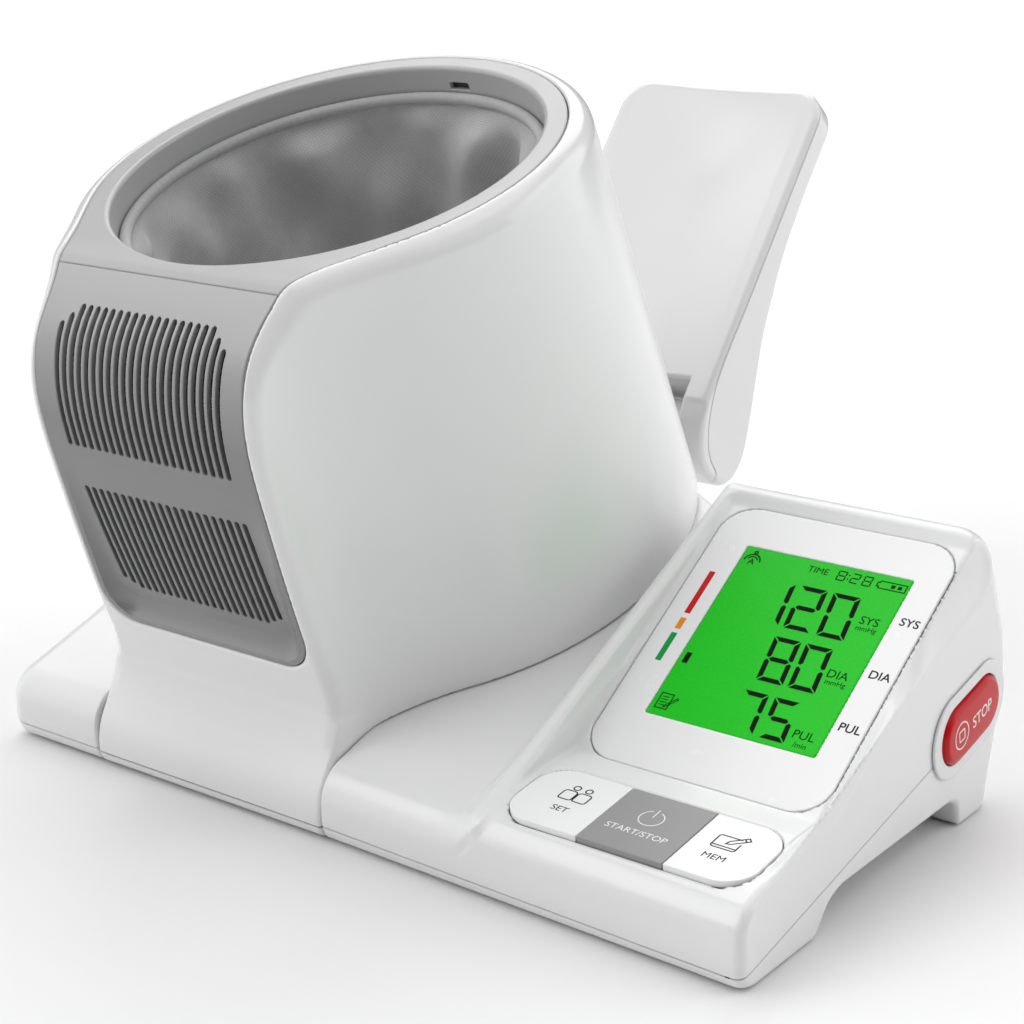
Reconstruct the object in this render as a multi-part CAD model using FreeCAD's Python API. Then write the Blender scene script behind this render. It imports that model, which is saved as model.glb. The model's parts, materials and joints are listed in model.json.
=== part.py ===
import FreeCAD, Part
import math
import os
from FreeCAD import Vector, Placement, Rotation

os.makedirs("parts", exist_ok=True)

# ---------------------------------------------------------------- driving dimensions (mm)
# Working frame: X to the right along the front edge, Y to the back, Z up, floor at Z = 0.
ORIGIN_X = 147.4           # bottom centre of the whole object in the working frame
ORIGIN_Y = 154.4

BASE_X0, BASE_X1 = -9.4, 306.0
BASE_FRONT = -6.0
BASE_REAR = 222.0
BASE_HALF = 106.0         # half width of the base under the drum
FLOOR = 0.6               # underside of the base, held off the table by rubber feet
WALL = 2.5
WEDGE_Z, WEDGE_S = 24.2, 0.354      # top of the wedge: z = WEDGE_Z + WEDGE_S * y
SEAM_Z, SEAM_S = 7.6, 0.212         # parting line of the base shells
ARCH_TOP = 11.5

CONSOLE_X0 = 205.0
DECK_Z, DECK_S = 29.3, 0.14         # key deck
LENS_Z, LENS_S = 4.3, 0.65          # display plane
RIDGE_Z, RIDGE_S = 27.0, 0.50       # side ridges of the console
SCOOP_X0, SCOOP_X1 = 211.0, 302.6

DRUM_X = 91.8
TILT = 19.5
RIM_Y, RIM_Z = 67.0, 212.0
R_OPEN = 75.0
R_TOP, R_BOT = 90.4, 103.0
HW_TOP, HW_BOT = 51.0, 52.5         # half width of the front block
NECK_TOP, NECK_BOT = (55.0, -84.0), (61.0, -87.0)   # where the block flares into the drum
V_FRONT = -119.0
W_SKIRT = -154.4
DRUM_WALL = 2.6
R_RING = 83.4
PANEL_TOP, PANEL_BOT, PANEL_W = 46.4, 47.6, -126.0
SEAM_V = -82.0            # seam between the top ring and the grille panel
SLOT_PITCH, SLOT_W = 3.43, 1.9
HINGE_Y, HINGE_Z, HINGE_R = 4.0, 8.0, 3.0
FOOT_HW = 52.5
SLOT_HW = 53.1
SLOT_BACK = 44.0

REST_Y, REST_Z = 252.0, 82.0        # hinge of the arm rest
REST_ANGLE = 52.2
REST_HW = 49.8
REST_FACE = 25.3
REST_LEN = 152.0
PIN_R = 4.0

STOP_Y, STOP_Z, STOP_ANGLE = 134.6, 38.8, 12.5
STOP_TRAVEL = 2.0
KEY_TRAVEL = 0.8


# ---------------------------------------------------------------- helpers
def V(x, y, z=0.0):
    return Vector(x, y, z)


def box(x0, x1, y0, y1, z0, z1):
    return Part.makeBox(x1 - x0, y1 - y0, z1 - z0, V(x0, y0, z0))


def face(pts):
    return Part.Face(Part.makePolygon([V(*p) for p in pts] + [V(*pts[0])]))


def yz(pts, x0, x1):
    return face([(x0, y, z) for y, z in pts]).extrude(V(x1 - x0, 0, 0))


def xy(pts, z0, z1):
    return face([(x, y, z0) for x, y in pts]).extrude(V(0, 0, z1 - z0))


def cyl(p, d, length, r):
    return Part.makeCylinder(r, length, V(*p), V(*d))


def tube(r0, r1, z0, z1):
    return cyl((0, 0, z0), (0, 0, 1), z1 - z0, r1).cut(cyl((0, 0, z0 - 1), (0, 0, 1), z1 - z0 + 2, r0))


def fuse(*shapes):
    r = shapes[0]
    for s in shapes[1:]:
        r = r.fuse(s)
    return r.removeSplitter()


def cut(a, *tools):
    for t in tools:
        a = a.cut(t)
    return a


def rrect(x0, x1, y0, y1, r, z0, z1):
    """Upright prism over a rectangle with rounded corners."""
    b = box(x0, x1, y0, y1, z0, z1)
    e = [q for q in b.Edges if abs(q.Vertexes[0].Z - q.Vertexes[-1].Z) > 1e-6]
    return b.makeFillet(r, e)


def placed(s, pl):
    s = s.copy()
    s.Placement = pl.multiply(s.Placement)
    return s


SAVED = {}


def save(name, shape):
    s = shape.copy()
    s.translate(V(-ORIGIN_X, -ORIGIN_Y, 0))
    if not s.isValid():
        print("not valid:", name)
    s.exportStep("parts/%s.step" % name)
    SAVED[name] = s
    print("%-20s solids %d volume %.0f" % (name, len(s.Solids), s.Volume))


DRUM = Placement(V(DRUM_X, RIM_Y, RIM_Z), Rotation(V(1, 0, 0), TILT))
LENS_A = math.degrees(math.atan(LENS_S))
LENS = Placement(V(256.5, 46.0, LENS_Z + LENS_S * 46.0), Rotation(V(1, 0, 0), LENS_A))
DECK_A = math.degrees(math.atan(DECK_S))
DECK = Placement(V(256.5, 1.7, DECK_Z + DECK_S * 1.7), Rotation(V(1, 0, 0), DECK_A))
REST = Placement(V(DRUM_X, REST_Y, REST_Z), Rotation(V(1, 0, 0), REST_ANGLE))
STOP = Placement(V(0, STOP_Y, STOP_Z), Rotation(V(1, 0, 0), STOP_ANGLE))


def stadium(length, width, x0, x1):
    """Stadium prism along X on the stop button's axis."""
    h = (length - width) / 2.0
    r = width / 2.0
    e = [
        Part.LineSegment(V(x0, -h, -r), V(x0, h, -r)).toShape(),
        Part.Arc(V(x0, h, -r), V(x0, h + r, 0), V(x0, h, r)).toShape(),
        Part.LineSegment(V(x0, h, r), V(x0, -h, r)).toShape(),
        Part.Arc(V(x0, -h, r), V(x0, -h - r, 0), V(x0, -h, -r)).toShape(),
    ]
    return placed(Part.Face(Part.Wire(e)).extrude(V(x1 - x0, 0, 0)), STOP)


# ---------------------------------------------------------------- base: outer form
def outline(off, z0, z1):
    """Plan of the base, drawn in by off."""
    x0, x1, y0 = BASE_X0 + off, BASE_X1 - off, BASE_FRONT + off
    cx, cy = DRUM_X, 118.7
    a, b = BASE_HALF - off, (BASE_REAR - off - cy) / math.sin(math.radians(70))

    def el(t):
        t = math.radians(t)
        return (cx + a * math.cos(t), cy + b * math.sin(t))

    back = 178.0 - off
    t_in = math.degrees(math.asin((back - cy) / b))
    p0, pm, p1 = el(t_in), el((t_in + 70) / 2), el(70)
    q1, qm, q0 = el(110), el(145), el(180)
    z = z0
    e = [
        Part.LineSegment(V(x0, y0, z), V(x1, y0, z)).toShape(),
        Part.LineSegment(V(x1, y0, z), V(x1, back, z)).toShape(),
        Part.LineSegment(V(x1, back, z), V(p0[0], back, z)).toShape(),
        Part.Arc(V(p0[0], back, z), V(pm[0], pm[1], z), V(p1[0], p1[1], z)).toShape(),
        Part.LineSegment(V(p1[0], p1[1], z), V(q1[0], q1[1], z)).toShape(),
        Part.Arc(V(q1[0], q1[1], z), V(qm[0], qm[1], z), V(q0[0], q0[1], z)).toShape(),
        Part.LineSegment(V(q0[0], q0[1], z), V(q0[0], 88.0, z)).toShape(),
        Part.LineSegment(V(q0[0], 88.0, z), V(x0, 56.0, z)).toShape(),
        Part.LineSegment(V(x0, 56.0, z), V(x0, y0, z)).toShape(),
    ]
    return Part.Face(Part.Wire(e)).extrude(V(0, 0, z1 - z0))


def wz(y, d=0.0):
    return WEDGE_Z + WEDGE_S * y - d


def base_form(o):
    """Wedge under the drum; o = 0 outside, o = WALL inside."""
    v = o * 1.06
    pts = [(0.5 + o, FLOOR), (-4 + o, 4), (-6 + o, 8), (-6 + o, 15), (-4.5 + o, 20.5 - o * 0.5), (0.5 + o, wz(0.5 + o, v)),
           (BASE_REAR - 9 - o, wz(BASE_REAR - 9 - o, v)), (BASE_REAR - o, 91 - o), (BASE_REAR - o, FLOOR)]
    return yz(pts, -20, CONSOLE_X0 + 4).common(outline(o, -1, 130))


def console_back(o):
    return [(146 - o, 98 - o), (153 - o, 97 - o), (174 - o, 52), (162 - o, FLOOR)]


def console_form(o):
    pts = [(0.5, FLOOR), (-4, 4), (-6, 8), (-6, 15), (-4.5, 20.5), (-0.5, 25.6), (3, RIDGE_Z + RIDGE_S * 3)]
    pts += [(142, RIDGE_Z + RIDGE_S * 142)] + console_back(0)
    return yz(pts, CONSOLE_X0, BASE_X1)


def deck_z(y):
    return DECK_Z + DECK_S * y


def lens_z(y):
    return LENS_Z + LENS_S * y


Y_JOIN = (DECK_Z - LENS_Z) / (LENS_S - DECK_S)
scoop = yz([(1.0, deck_z(1.0)), (Y_JOIN, deck_z(Y_JOIN)), (141.0, lens_z(141.0)), (141.0, 140.0), (1.0, 140.0)], SCOOP_X0, SCOOP_X1)

slot = box(DRUM_X - SLOT_HW, DRUM_X + SLOT_HW, -40, SLOT_BACK, -5, 80)
arch = yz([(36, -2), (47, 10.6), (53, ARCH_TOP), (126, ARCH_TOP), (131, 9.0), (134.5, -2)], -30, 330)
full = fuse(base_form(0), console_form(0).cut(scoop))
# the console and the rear end share one body, so trim the plain wedge behind the console's own back
full = cut(full, yz([(153.2, 97.5), (174.0, 52.0), (162.0, -2), (260, -2), (260, 140)], 196.0, 330), slot, arch)
full = cut(full, box(-40, 400, -40, 300, -5, FLOOR))

in_wedge = base_form(WALL)
vz = WALL * 1.2
in_console = yz([(-3.2, 8), (-3.2, 20), (0.5, deck_z(0) - 3.2), (Y_JOIN + 1, deck_z(Y_JOIN + 1) - 2.7), (137.5, lens_z(137.5) - 3.2),
                 (146, 91), (171, 51.5), (159, FLOOR)], CONSOLE_X0 + 2.6, BASE_X1 - WALL)
bridge = yz([(2.0, 8), (2.0, 22), (150, 72), (160, 60), (158, FLOOR), (60, FLOOR)], CONSOLE_X0 - 3, CONSOLE_X0 + 5)
floor_in = yz([(-20, -5), (-20, 3.1), (34.2, 3.1), (45.5, 13.4), (52, 14.0), (128, 14.0), (134, 11.0), (137.2, 3.1), (300, 3.1), (300, -5)], -30, 330)
slot_wall = box(DRUM_X - SLOT_HW - WALL, DRUM_X + SLOT_HW + WALL, -40, SLOT_BACK + WALL, -5, 80)
cavity = cut(fuse(in_wedge, in_console, bridge), floor_in, slot_wall)
cavity = cavity.cut(yz([(150.5, 97.5), (171.4, 51.5), (159.4, -2), (260, -2), (260, 140)], 196.0, 330))


def above(d):
    return yz([(-60, SEAM_Z - 60 * SEAM_S + d), (300, SEAM_Z + 300 * SEAM_S + d), (300, 300), (-60, 300)], -60, 400)


def below(d):
    return yz([(-60, SEAM_Z - 60 * SEAM_S - d), (300, SEAM_Z + 300 * SEAM_S - d), (300, -60), (-60, -60)], -60, 400)


upper = full.common(above(0.12)).cut(cavity)
lower = full.common(below(0.12)).cut(cavity)

# ---------------------------------------------------------------- base: fasteners, feet, hinge seats
SCREWS = [(18, 24), (161, 24), (8, 152), (178, 150), (282, 146)]
screws = []
for x, y in SCREWS:
    top = (wz(y, 1.0) if x < CONSOLE_X0 else lens_z(y) - 1.2)
    boss = cyl((x, y, 3.4), (0, 0, 1), top - 3.4, 4.0)
    upper = upper.fuse(boss)
    s = cyl((x, y, 1.2), (0, 0, 1), 1.5, 2.8).fuse(cyl((x, y, 2.7), (0, 0, 1), 11.3, 1.5)).removeSplitter()
    screws.append(s)
screw_set = Part.makeCompound(screws)
upper = upper.common(full.common(box(-60, 400, -60, 300, 0, 300))).removeSplitter()
for s, (x, y) in zip(screws, SCREWS):
    upper = upper.cut(cyl((x, y, 0), (0, 0, 1), 14.0, 1.5))
    lower = lower.cut(cyl((x, y, 0), (0, 0, 1), 2.7, 2.8)).cut(cyl((x, y, 0), (0, 0, 1), 3.2, 1.7))

FEET = [(6, 9), (172, 9), (294, 9), (14, 176), (292, 147), (92, 208)]
feet = []
for x, y in FEET:
    feet.append(cyl((x, y, 0), (0, 0, 1), 2.0, 5.0))
    lower = lower.cut(cyl((x, y, -1), (0, 0, 1), 3.0, 5.0))
feet_set = Part.makeCompound(feet)

pins = []
for sgn in (-1, 1):
    x_out = DRUM_X + sgn * 66.0
    x_wall = DRUM_X + sgn * (SLOT_HW + 0.2)
    lo = min(x_out, x_wall)
    boss = cyl((lo, HINGE_Y, HINGE_Z), (1, 0, 0), abs(x_out - x_wall), 7.0)
    upper = upper.cut(boss)
    lower = lower.fuse(boss)
    x_in = DRUM_X + sgn * 43.0
    x_end = DRUM_X + sgn * 64.0
    pin = cyl((min(x_in, x_end), HINGE_Y, HINGE_Z), (1, 0, 0), abs(x_in - x_end), HINGE_R)
    lower, upper = lower.cut(pin), upper.cut(pin)
    pins.append(pin)
lower = lower.removeSplitter()

# ---------------------------------------------------------------- base: battery box and its sliding door
bx0, bx1, by0, by1 = 38.0, 145.6, 148.0, 185.0
bay = box(bx0, bx1, by0, by1, 3.0, 22.0).cut(box(bx0 + 1.6, bx1 - 1.6, by0 + 1.6, by1 - 1.6, -1, 20.4))
roof = box(bx0, bx1, 135.6, by0 + 1.6, 2.9, 5.0)
rim = box(bx0 - 1.6, bx1 + 1.6, 135.6, 189.0, 2.9, 3.4).cut(box(bx0 + 1.6, bx1 - 1.6, 136.0, by1 - 1.6, 0, 6))
lower = fuse(lower, bay, roof, rim)
DOOR_X0, DOOR_X1, DOOR_Y0, DOOR_Y1 = 41.0, 142.6, 147.0, 186.0
lower = lower.cut(box(DOOR_X0 - 0.4, DOOR_X1 + 0.4, 138.0, DOOR_Y1 + 0.4, -1, 2.95))
lower = lower.cut(box(DOOR_X0 - 2.2, DOOR_X1 + 2.2, 138.0, DOOR_Y1 + 0.4, 1.2, 2.5))
lower = lower.cut(box(DOOR_X0 + 1.0, DOOR_X1 - 1.0, by0 + 1.6, by1 - 1.6, -1, 10.0)).removeSplitter()
door = box(DOOR_X0, DOOR_X1, DOOR_Y0, DOOR_Y1, 0.7, 2.6)
door = fuse(door, box(DOOR_X0 - 1.8, DOOR_X1 + 1.8, DOOR_Y0 + 4, DOOR_Y1 - 4, 1.5, 2.2))
for k in range(5):
    door = door.cut(box(78.0, 105.6, DOOR_Y0 + 4 + 3 * k, DOOR_Y0 + 5.2 + 3 * k, 0, 1.2))
cells, contacts = [], []
for y in (158.0, 175.0):
    for x in (41.6, 92.0):
        cells.append(cyl((x, y, 12.4), (1, 0, 0), 49.0, 7.1).fuse(cyl((x + 49.0, y, 12.4), (1, 0, 0), 1.2, 2.7)).removeSplitter())
for y in (158.0, 175.0):
    contacts.append(box(39.8, 41.3, y - 6, y + 6, 6.5, 18.5))
    contacts.append(box(142.4, 143.7, y - 6, y + 6, 6.5, 18.5))
cell_set, contact_set = Part.makeCompound(cells), Part.makeCompound(contacts)

# ---------------------------------------------------------------- base: power inlet on the left wall
JACK_X, JACK_Y, JACK_Z = DRUM_X - BASE_HALF, 98.0, 21.0
jack = box(JACK_X + WALL, JACK_X + 16.0, JACK_Y - 4.5, JACK_Y + 4.5, JACK_Z - 5.5, JACK_Z + 5.0)
jack = jack.fuse(cyl((JACK_X + 0.2, JACK_Y, JACK_Z), (1, 0, 0), 6, 4.4)).removeSplitter()
jack = jack.cut(cyl((JACK_X - 1, JACK_Y, JACK_Z), (1, 0, 0), 10.5, 2.8))
jack_pin = cyl((JACK_X + 1.5, JACK_Y, JACK_Z), (1, 0, 0), 8.2, 1.0)
jack = jack.fuse(jack_pin).removeSplitter()
lower = lower.cut(cyl((JACK_X - 1, JACK_Y, JACK_Z), (1, 0, 0), 4, 4.4))
lower = lower.cut(box(JACK_X + WALL, JACK_X + 16.0, JACK_Y - 4.5, JACK_Y + 4.5, JACK_Z - 5.5, JACK_Z + 5.0))

# ---------------------------------------------------------------- console: lens, display, boards, keys
LX0, LX1, LL = -43.5, 43.5, 110.4
lens = placed(rrect(LX0, LX1, 0, LL, 12.0, -1.4, 0.0), LENS)
upper = upper.cut(placed(rrect(LX0 - 0.15, LX1 + 0.15, -0.15, LL + 0.15, 12.0, -1.4, 6.0), LENS))
upper = upper.cut(placed(box(-31.0, 34.0, 18.6, 95.8, -6, 1), LENS))
lcd = placed(fuse(box(-32.5, 35.5, 16.0, 98.5, -9.0, -3.2), box(-29.5, 32.5, 20.3, 94.2, -3.3, -1.5)), LENS)
board = placed(box(-38, 38, 14, 100, -13.6, -12.0), LENS)
spacer = placed(fuse(box(-32.5, 35.5, 18.0, 24.0, -12.0, -9.0), box(-32.5, 35.5, 90.0, 96.0, -12.0, -9.0)), LENS)
buzzer = placed(cyl((-8, 62, -18.6), (0, 0, 1), 5.0, 7.0), LENS)
posts = [cyl((sx, l, -12.0), (0, 0, 1), 10.0, 2.6) for sx in (-36.8,) for l in (20, 94)]
for q in posts:
    upper = upper.fuse(placed(q, LENS))
upper = upper.cut(placed(box(-32.5, 35.5, 16.0, 98.5, -9.0, -3.2), LENS))

KX = [-43.0, -13.0, 17.5, 44.0]
KL = 31.4
key_gap = 0.35


def key_plate(i, grow, z0, z1):
    b = rrect(KX[0] - grow, KX[3] + grow, -grow, KL + grow, 11.0, z0, z1)
    if i is None:
        return b
    return b.common(box(KX[i] + key_gap / 2 if i else -60, KX[i + 1] - key_gap / 2 if i < 2 else 60, -5, 60, z0, z1))


upper = upper.cut(placed(key_plate(None, 0.35, -8, 8), DECK))
keys, switches = [], []
for i in range(3):
    cx = (KX[i] + KX[i + 1]) / 2
    plate = key_plate(i, 0.0, -2.4, 0.5)
    stem = cyl((cx, KL / 2, -6.0), (0, 0, 1), 4.0, 2.6)
    keys.append(placed(fuse(plate, stem), DECK))
    switches.append(placed(fuse(box(cx - 3, cx + 3, KL / 2 - 3, KL / 2 + 3, -11.4, -8.0), cyl((cx, KL / 2, -8.0), (0, 0, 1), 0.9, 1.6)), DECK))
switch_set = Part.makeCompound(switches)
key_board = placed(box(-44, 44, 3, 29, -13.0, -11.4), DECK)
shelf = [placed(box(-47, 46.6, 0.4, 3.2, -13.0, -2.0), DECK)]
for q in shelf:
    upper = upper.fuse(q.common(full))
upper = upper.cut(placed(key_plate(None, 0.35, -8, 8), DECK)).cut(key_board).removeSplitter()

# ---------------------------------------------------------------- stop button on the right side
bezel = fuse(stadium(52.0, 29.0, BASE_X1, BASE_X1 + 1.2), stadium(48.0, 25.0, BASE_X1 - 4.0, BASE_X1)).cut(stadium(40.8, 20.8, BASE_X1 - 8, BASE_X1 + 5))
stop = fuse(stadium(40.0, 20.0, BASE_X1 - 9.0, BASE_X1 + 3.0))
stop_edges = [e for e in stop.Edges if abs(e.BoundBox.XMin - (BASE_X1 + 3.0)) < 1e-6 and abs(e.BoundBox.XMax - (BASE_X1 + 3.0)) < 1e-6]
stop = stop.makeFillet(1.8, stop_edges)
stop_hole = stadium(48.0, 25.0, BASE_X1 - 9, BASE_X1 + 4)
upper, lower = upper.cut(stop_hole), lower.cut(stop_hole)
stop_switch = placed(fuse(box(BASE_X1 - 16.5, BASE_X1 - 13.0, -4, 4, -4, 4), cyl((BASE_X1 - 13.0, 0, 0), (1, 0, 0), 1.4, 1.8)), STOP)
stop_board = placed(box(BASE_X1 - 18.1, BASE_X1 - 16.5, -15, 15, -11, 9), STOP)
rib = placed(box(BASE_X1 - 18.1, BASE_X1 - 1.0, -17.5, -15.0, -10, 8), STOP).common(full.common(below(0.12)))
rib = rib.cut(stadium(48.6, 25.6, BASE_X1 - 9.5, BASE_X1 + 4))
lower = lower.fuse(rib).cut(stop_board).removeSplitter()
lower = max(lower.Solids, key=lambda q: q.Volume)

# ---------------------------------------------------------------- arm rest bracket on the rear wall
BR_HW = 36.0
BARREL = 12.5
bracket = fuse(yz([(BASE_REAR, 60), (REST_Y, REST_Z - BARREL), (REST_Y, REST_Z + BARREL), (BASE_REAR, 86)], DRUM_X - BR_HW, DRUM_X + BR_HW),
               cyl((DRUM_X - BR_HW, REST_Y, REST_Z), (1, 0, 0), 2 * BR_HW, BARREL))
rest_pin = cyl((DRUM_X - 46.5, REST_Y, REST_Z), (1, 0, 0), 93.0, PIN_R)
bracket = bracket.cut(rest_pin)
bracket_screws = []
for x in (-16, 16):
    for z in (65.0, 75.0):
        s = cyl((DRUM_X + x, BASE_REAR - 4.5, z), (0, 1, 0), 2.0, 2.8).fuse(cyl((DRUM_X + x, BASE_REAR - 2.5, z), (0, 1, 0), 12.5, 1.5)).removeSplitter()
        bracket_screws.append(s)
        hole = cyl((DRUM_X + x, BASE_REAR - 2.5, z), (0, 1, 0), 12.5, 1.5)
        bracket, upper, lower = bracket.cut(hole), upper.cut(s), lower.cut(s)
bracket_screw_set = Part.makeCompound(bracket_screws)
washers = Part.makeCompound([cyl((DRUM_X - BR_HW - 1.1, REST_Y, REST_Z), (1, 0, 0), 1.1, 10.0).cut(rest_pin),
                             cyl((DRUM_X + BR_HW, REST_Y, REST_Z), (1, 0, 0), 1.1, 10.0).cut(rest_pin)])

# ---------------------------------------------------------------- drum: outer form in its own frame (u, v, w)
def plan(R, hw, neck, vf, rc, w):
    """Keyhole outline: front block with rounded corners, flaring into the round drum."""
    cx, cy = hw - rc, vf + rc
    t1 = (hw, cy)
    h = rc * math.sqrt(0.5)
    mid = (cx + h, cy - h)
    a = math.radians(-33)
    t2 = (R * math.cos(a), R * math.sin(a))

    def p(q, s=1):
        return V(s * q[0], q[1], w)

    return Part.Wire([
        Part.LineSegment(V(-cx, vf, w), V(cx, vf, w)).toShape(),
        Part.Arc(V(cx, vf, w), p(mid), p(t1)).toShape(),
        Part.LineSegment(p(t1), p(neck)).toShape(),
        Part.LineSegment(p(neck), p(t2)).toShape(),
        Part.Arc(p(t2), V(0, R, w), p(t2, -1)).toShape(),
        Part.LineSegment(p(t2, -1), p(neck, -1)).toShape(),
        Part.LineSegment(p(neck, -1), p(t1, -1)).toShape(),
        Part.Arc(p(t1, -1), p(mid, -1), V(-cx, vf, w)).toShape(),
    ])


FRONT = [(-80.0, 0.0), (-87.2, -6.0), (-92.9, -10.0), (-99.0, -15.0), (-103.4, -20.4), (-108.1, -30.0), (-110.7, -40.0), (-112.0, -52.0), (-112.6, -70.0),
         (-113.0, -90.0), (-113.0, -110.0), (-112.8, -122.0), (-112.3, -131.0), (-112.8, -139.0), (-114.6, -145.0), (-117.0, -150.0), (-118.6, -154.4)]


def profile(dv, top, extra):
    pts = [V(-130, v + dv, w - (dv * 0.4 if dv else 0)) for v, w in FRONT]
    pts[0] = V(-130, FRONT[0][0] + dv * 0.6, top)
    pts[-1] = V(-130, FRONT[-1][0] + dv, FRONT[-1][1] - extra)
    c = Part.BSplineCurve()
    c.interpolate(pts)
    e = [c.toShape(),
         Part.LineSegment(pts[-1], V(-130, 140, pts[-1].z)).toShape(),
         Part.LineSegment(V(-130, 140, pts[-1].z), V(-130, 140, top)).toShape(),
         Part.LineSegment(V(-130, 140, top), pts[0]).toShape()]
    return Part.Face(Part.Wire(e)).extrude(V(260, 0, 0))


def drum_form(o, top, extra):
    n0, n1 = (NECK_TOP[0] - o, NECK_TOP[1] + 0.4 * o), (NECK_BOT[0] - o, NECK_BOT[1] + 0.4 * o)
    s = Part.makeLoft([plan(R_TOP - o, HW_TOP - o, n0, V_FRONT + o, 8.0 - o, top), plan(R_BOT - o, HW_BOT - o, n1, V_FRONT + o, 8.0 - o, W_SKIRT - extra)], True, True)
    return s.common(profile(o, top, extra))


drum_out = drum_form(0.0, 0.0, 0.0)
drum_in = drum_form(DRUM_WALL, -3.0, 1.0)
skin = drum_out.cut(drum_in)


def strip(h0, h1, w0, w1, v0, v1):
    """Tapering strip across the front or back of the drum."""
    return face([(-h0, v0, w0), (h0, v0, w0), (h1, v0, w1), (-h1, v0, w1)]).extrude(V(0, v1 - v0, 0))


def half_at(w):
    return PANEL_TOP + (PANEL_BOT - PANEL_TOP) * w / PANEL_W


g = 0.15
front_zone = strip(half_at(6), half_at(PANEL_W), 6, PANEL_W, -140, SEAM_V - 0.1)
front_grown = strip(half_at(6) + g, half_at(PANEL_W - g) + g, 6, PANEL_W - g, -140, -80)
low_zone = strip(half_at(PANEL_W - 2 * g), half_at(-160), PANEL_W - 2 * g, -160, -140, -80)
low_grown = strip(half_at(PANEL_W) + g, half_at(-165) + g, PANEL_W, -165, -140, -80)
rear_zone = strip(PANEL_TOP, PANEL_TOP + 4, -3.2, W_SKIRT - 2, 40, 120)
rear_grown = strip(PANEL_TOP + g, PANEL_TOP + 4 + g, -3.0, W_SKIRT - 4, 40, 120)
RING_DEEP = -4.4
ring_zone = fuse(cyl((0, 0, -3.2), (0, 0, 1), 6, R_RING).cut(box(-100, 100, -100, SEAM_V, -10, 10)), box(-PANEL_TOP, PANEL_TOP, SEAM_V, 0, RING_DEEP, 4), box(-PANEL_TOP, PANEL_TOP, 0, 110, -3.2, 4))
ring_grown = fuse(cyl((0, 0, -3.4), (0, 0, 1), 8, R_RING + g), box(-PANEL_TOP - g, PANEL_TOP + g, SEAM_V - 1, 0, RING_DEEP - 0.2, 5), box(-PANEL_TOP - g, PANEL_TOP + g, 0, 110, -3.4, 5))
bore = cyl((0, 0, -300), (0, 0, 1), 400, R_OPEN)

ring = skin.common(ring_zone).cut(bore)
ring = fuse(ring, tube(R_OPEN, 77.4, -14.0, -0.0))
ring = ring.cut(box(-7, 7, 70, 80, -5.2, -2.6))
grille = skin.common(front_zone)
slots = []
for i in range(22):
    u = (i - 10.5) * SLOT_PITCH
    k = max(0.0, abs(i - 10.5) - 8.5)
    slots.append(box(u - SLOT_W / 2, u + SLOT_W / 2, -135, -84, -53.6, -10.6 - 2.1 * k))
    slots.append(box(u - SLOT_W / 2, u + SLOT_W / 2, -135, -84, -112.0 + 1.6 * k, -69.8))
grille = grille.cut(Part.makeCompound(slots))
rear = skin.common(rear_zone)
sides = cut(skin, front_grown, ring_grown, rear_grown, low_grown, bore)


def fit_to_drum(s):
    return placed(s, DRUM)


FOOT = [(7.2, 38.0), (6.9, 34.5), (5.2, 29.0), (2.6, 23.0), (0.0, 17.5), (-1.4, 12.5), (-1.9, 8.0), (-1.2, 4.2), (0.4, 1.8), (3.0, 0.9), (40.0, 0.9), (40.0, 38.3)]
FOOT_IN = [(9.8, 60.0), (9.8, 38.0), (9.5, 34.5), (7.7, 29.6), (5.0, 23.8), (2.4, 18.2), (1.2, 13.0), (0.7, 8.0), (1.2, 5.2), (2.2, 4.0), (4.0, 3.5), (37.4, 3.5), (37.4, 60.0)]
foot = yz(FOOT, DRUM_X - FOOT_HW, DRUM_X + FOOT_HW)
tub = foot.cut(yz(FOOT_IN, DRUM_X - FOOT_HW + 2.6, DRUM_X + FOOT_HW - 2.6))
keep_low = yz([(-50, 24.2 - 50 * 0.354 - 3), (300, 24.2 + 300 * 0.354 - 3), (300, -60), (-50, -60)], -60, 300)
apron = fit_to_drum(skin.common(low_zone))
cover = fuse(apron, tub.common(box(-60, 300, -20, 12.8, 9.0, 80)))
split_z = 6.4
bottom_pan = cut(tub, cover, box(-60, 300, -20, 13.0, split_z, 80))
pan_lid = tub.common(box(-60, 300, -20, 12.8, split_z + 0.15, 9.2)).cut(cover)
cover = fuse(cover, pan_lid)
# hinge cheeks inside the foot
for sgn in (-1, 1):
    a, b = DRUM_X + sgn * 44.0, DRUM_X + sgn * (FOOT_HW - 1.0)
    cheek = cyl((min(a, b), HINGE_Y, HINGE_Z), (1, 0, 0), abs(b - a), 5.2)
    bottom_pan = bottom_pan.fuse(cheek)
    cover = cover.cut(cheek)
    hole = cyl((DRUM_X + sgn * 56 - 20, HINGE_Y, HINGE_Z), (1, 0, 0), 40, HINGE_R + 0.05)
    bottom_pan, cover = bottom_pan.cut(hole), cover.cut(hole)
bottom_pan = bottom_pan.removeSplitter()
cover = cover.removeSplitter()
foot_grown = yz([(6.9, 38.3), (6.6, 34.5), (4.9, 29.1), (2.3, 23.1), (-0.3, 17.6), (-1.7, 12.5), (-2.2, 8.0), (-1.5, 4.0), (0.3, 1.5), (3.0, 0.6), (40.3, 0.6), (40.3, 38.6)], DRUM_X - FOOT_HW - 0.2, DRUM_X + FOOT_HW + 0.2)
side_fit = fit_to_drum(sides).cut(foot_grown)
shell_left = side_fit.common(box(-100, DRUM_X, -100, 400, -10, 400))
shell_right = side_fit.common(box(DRUM_X, 300, -100, 400, -10, 400))

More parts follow.
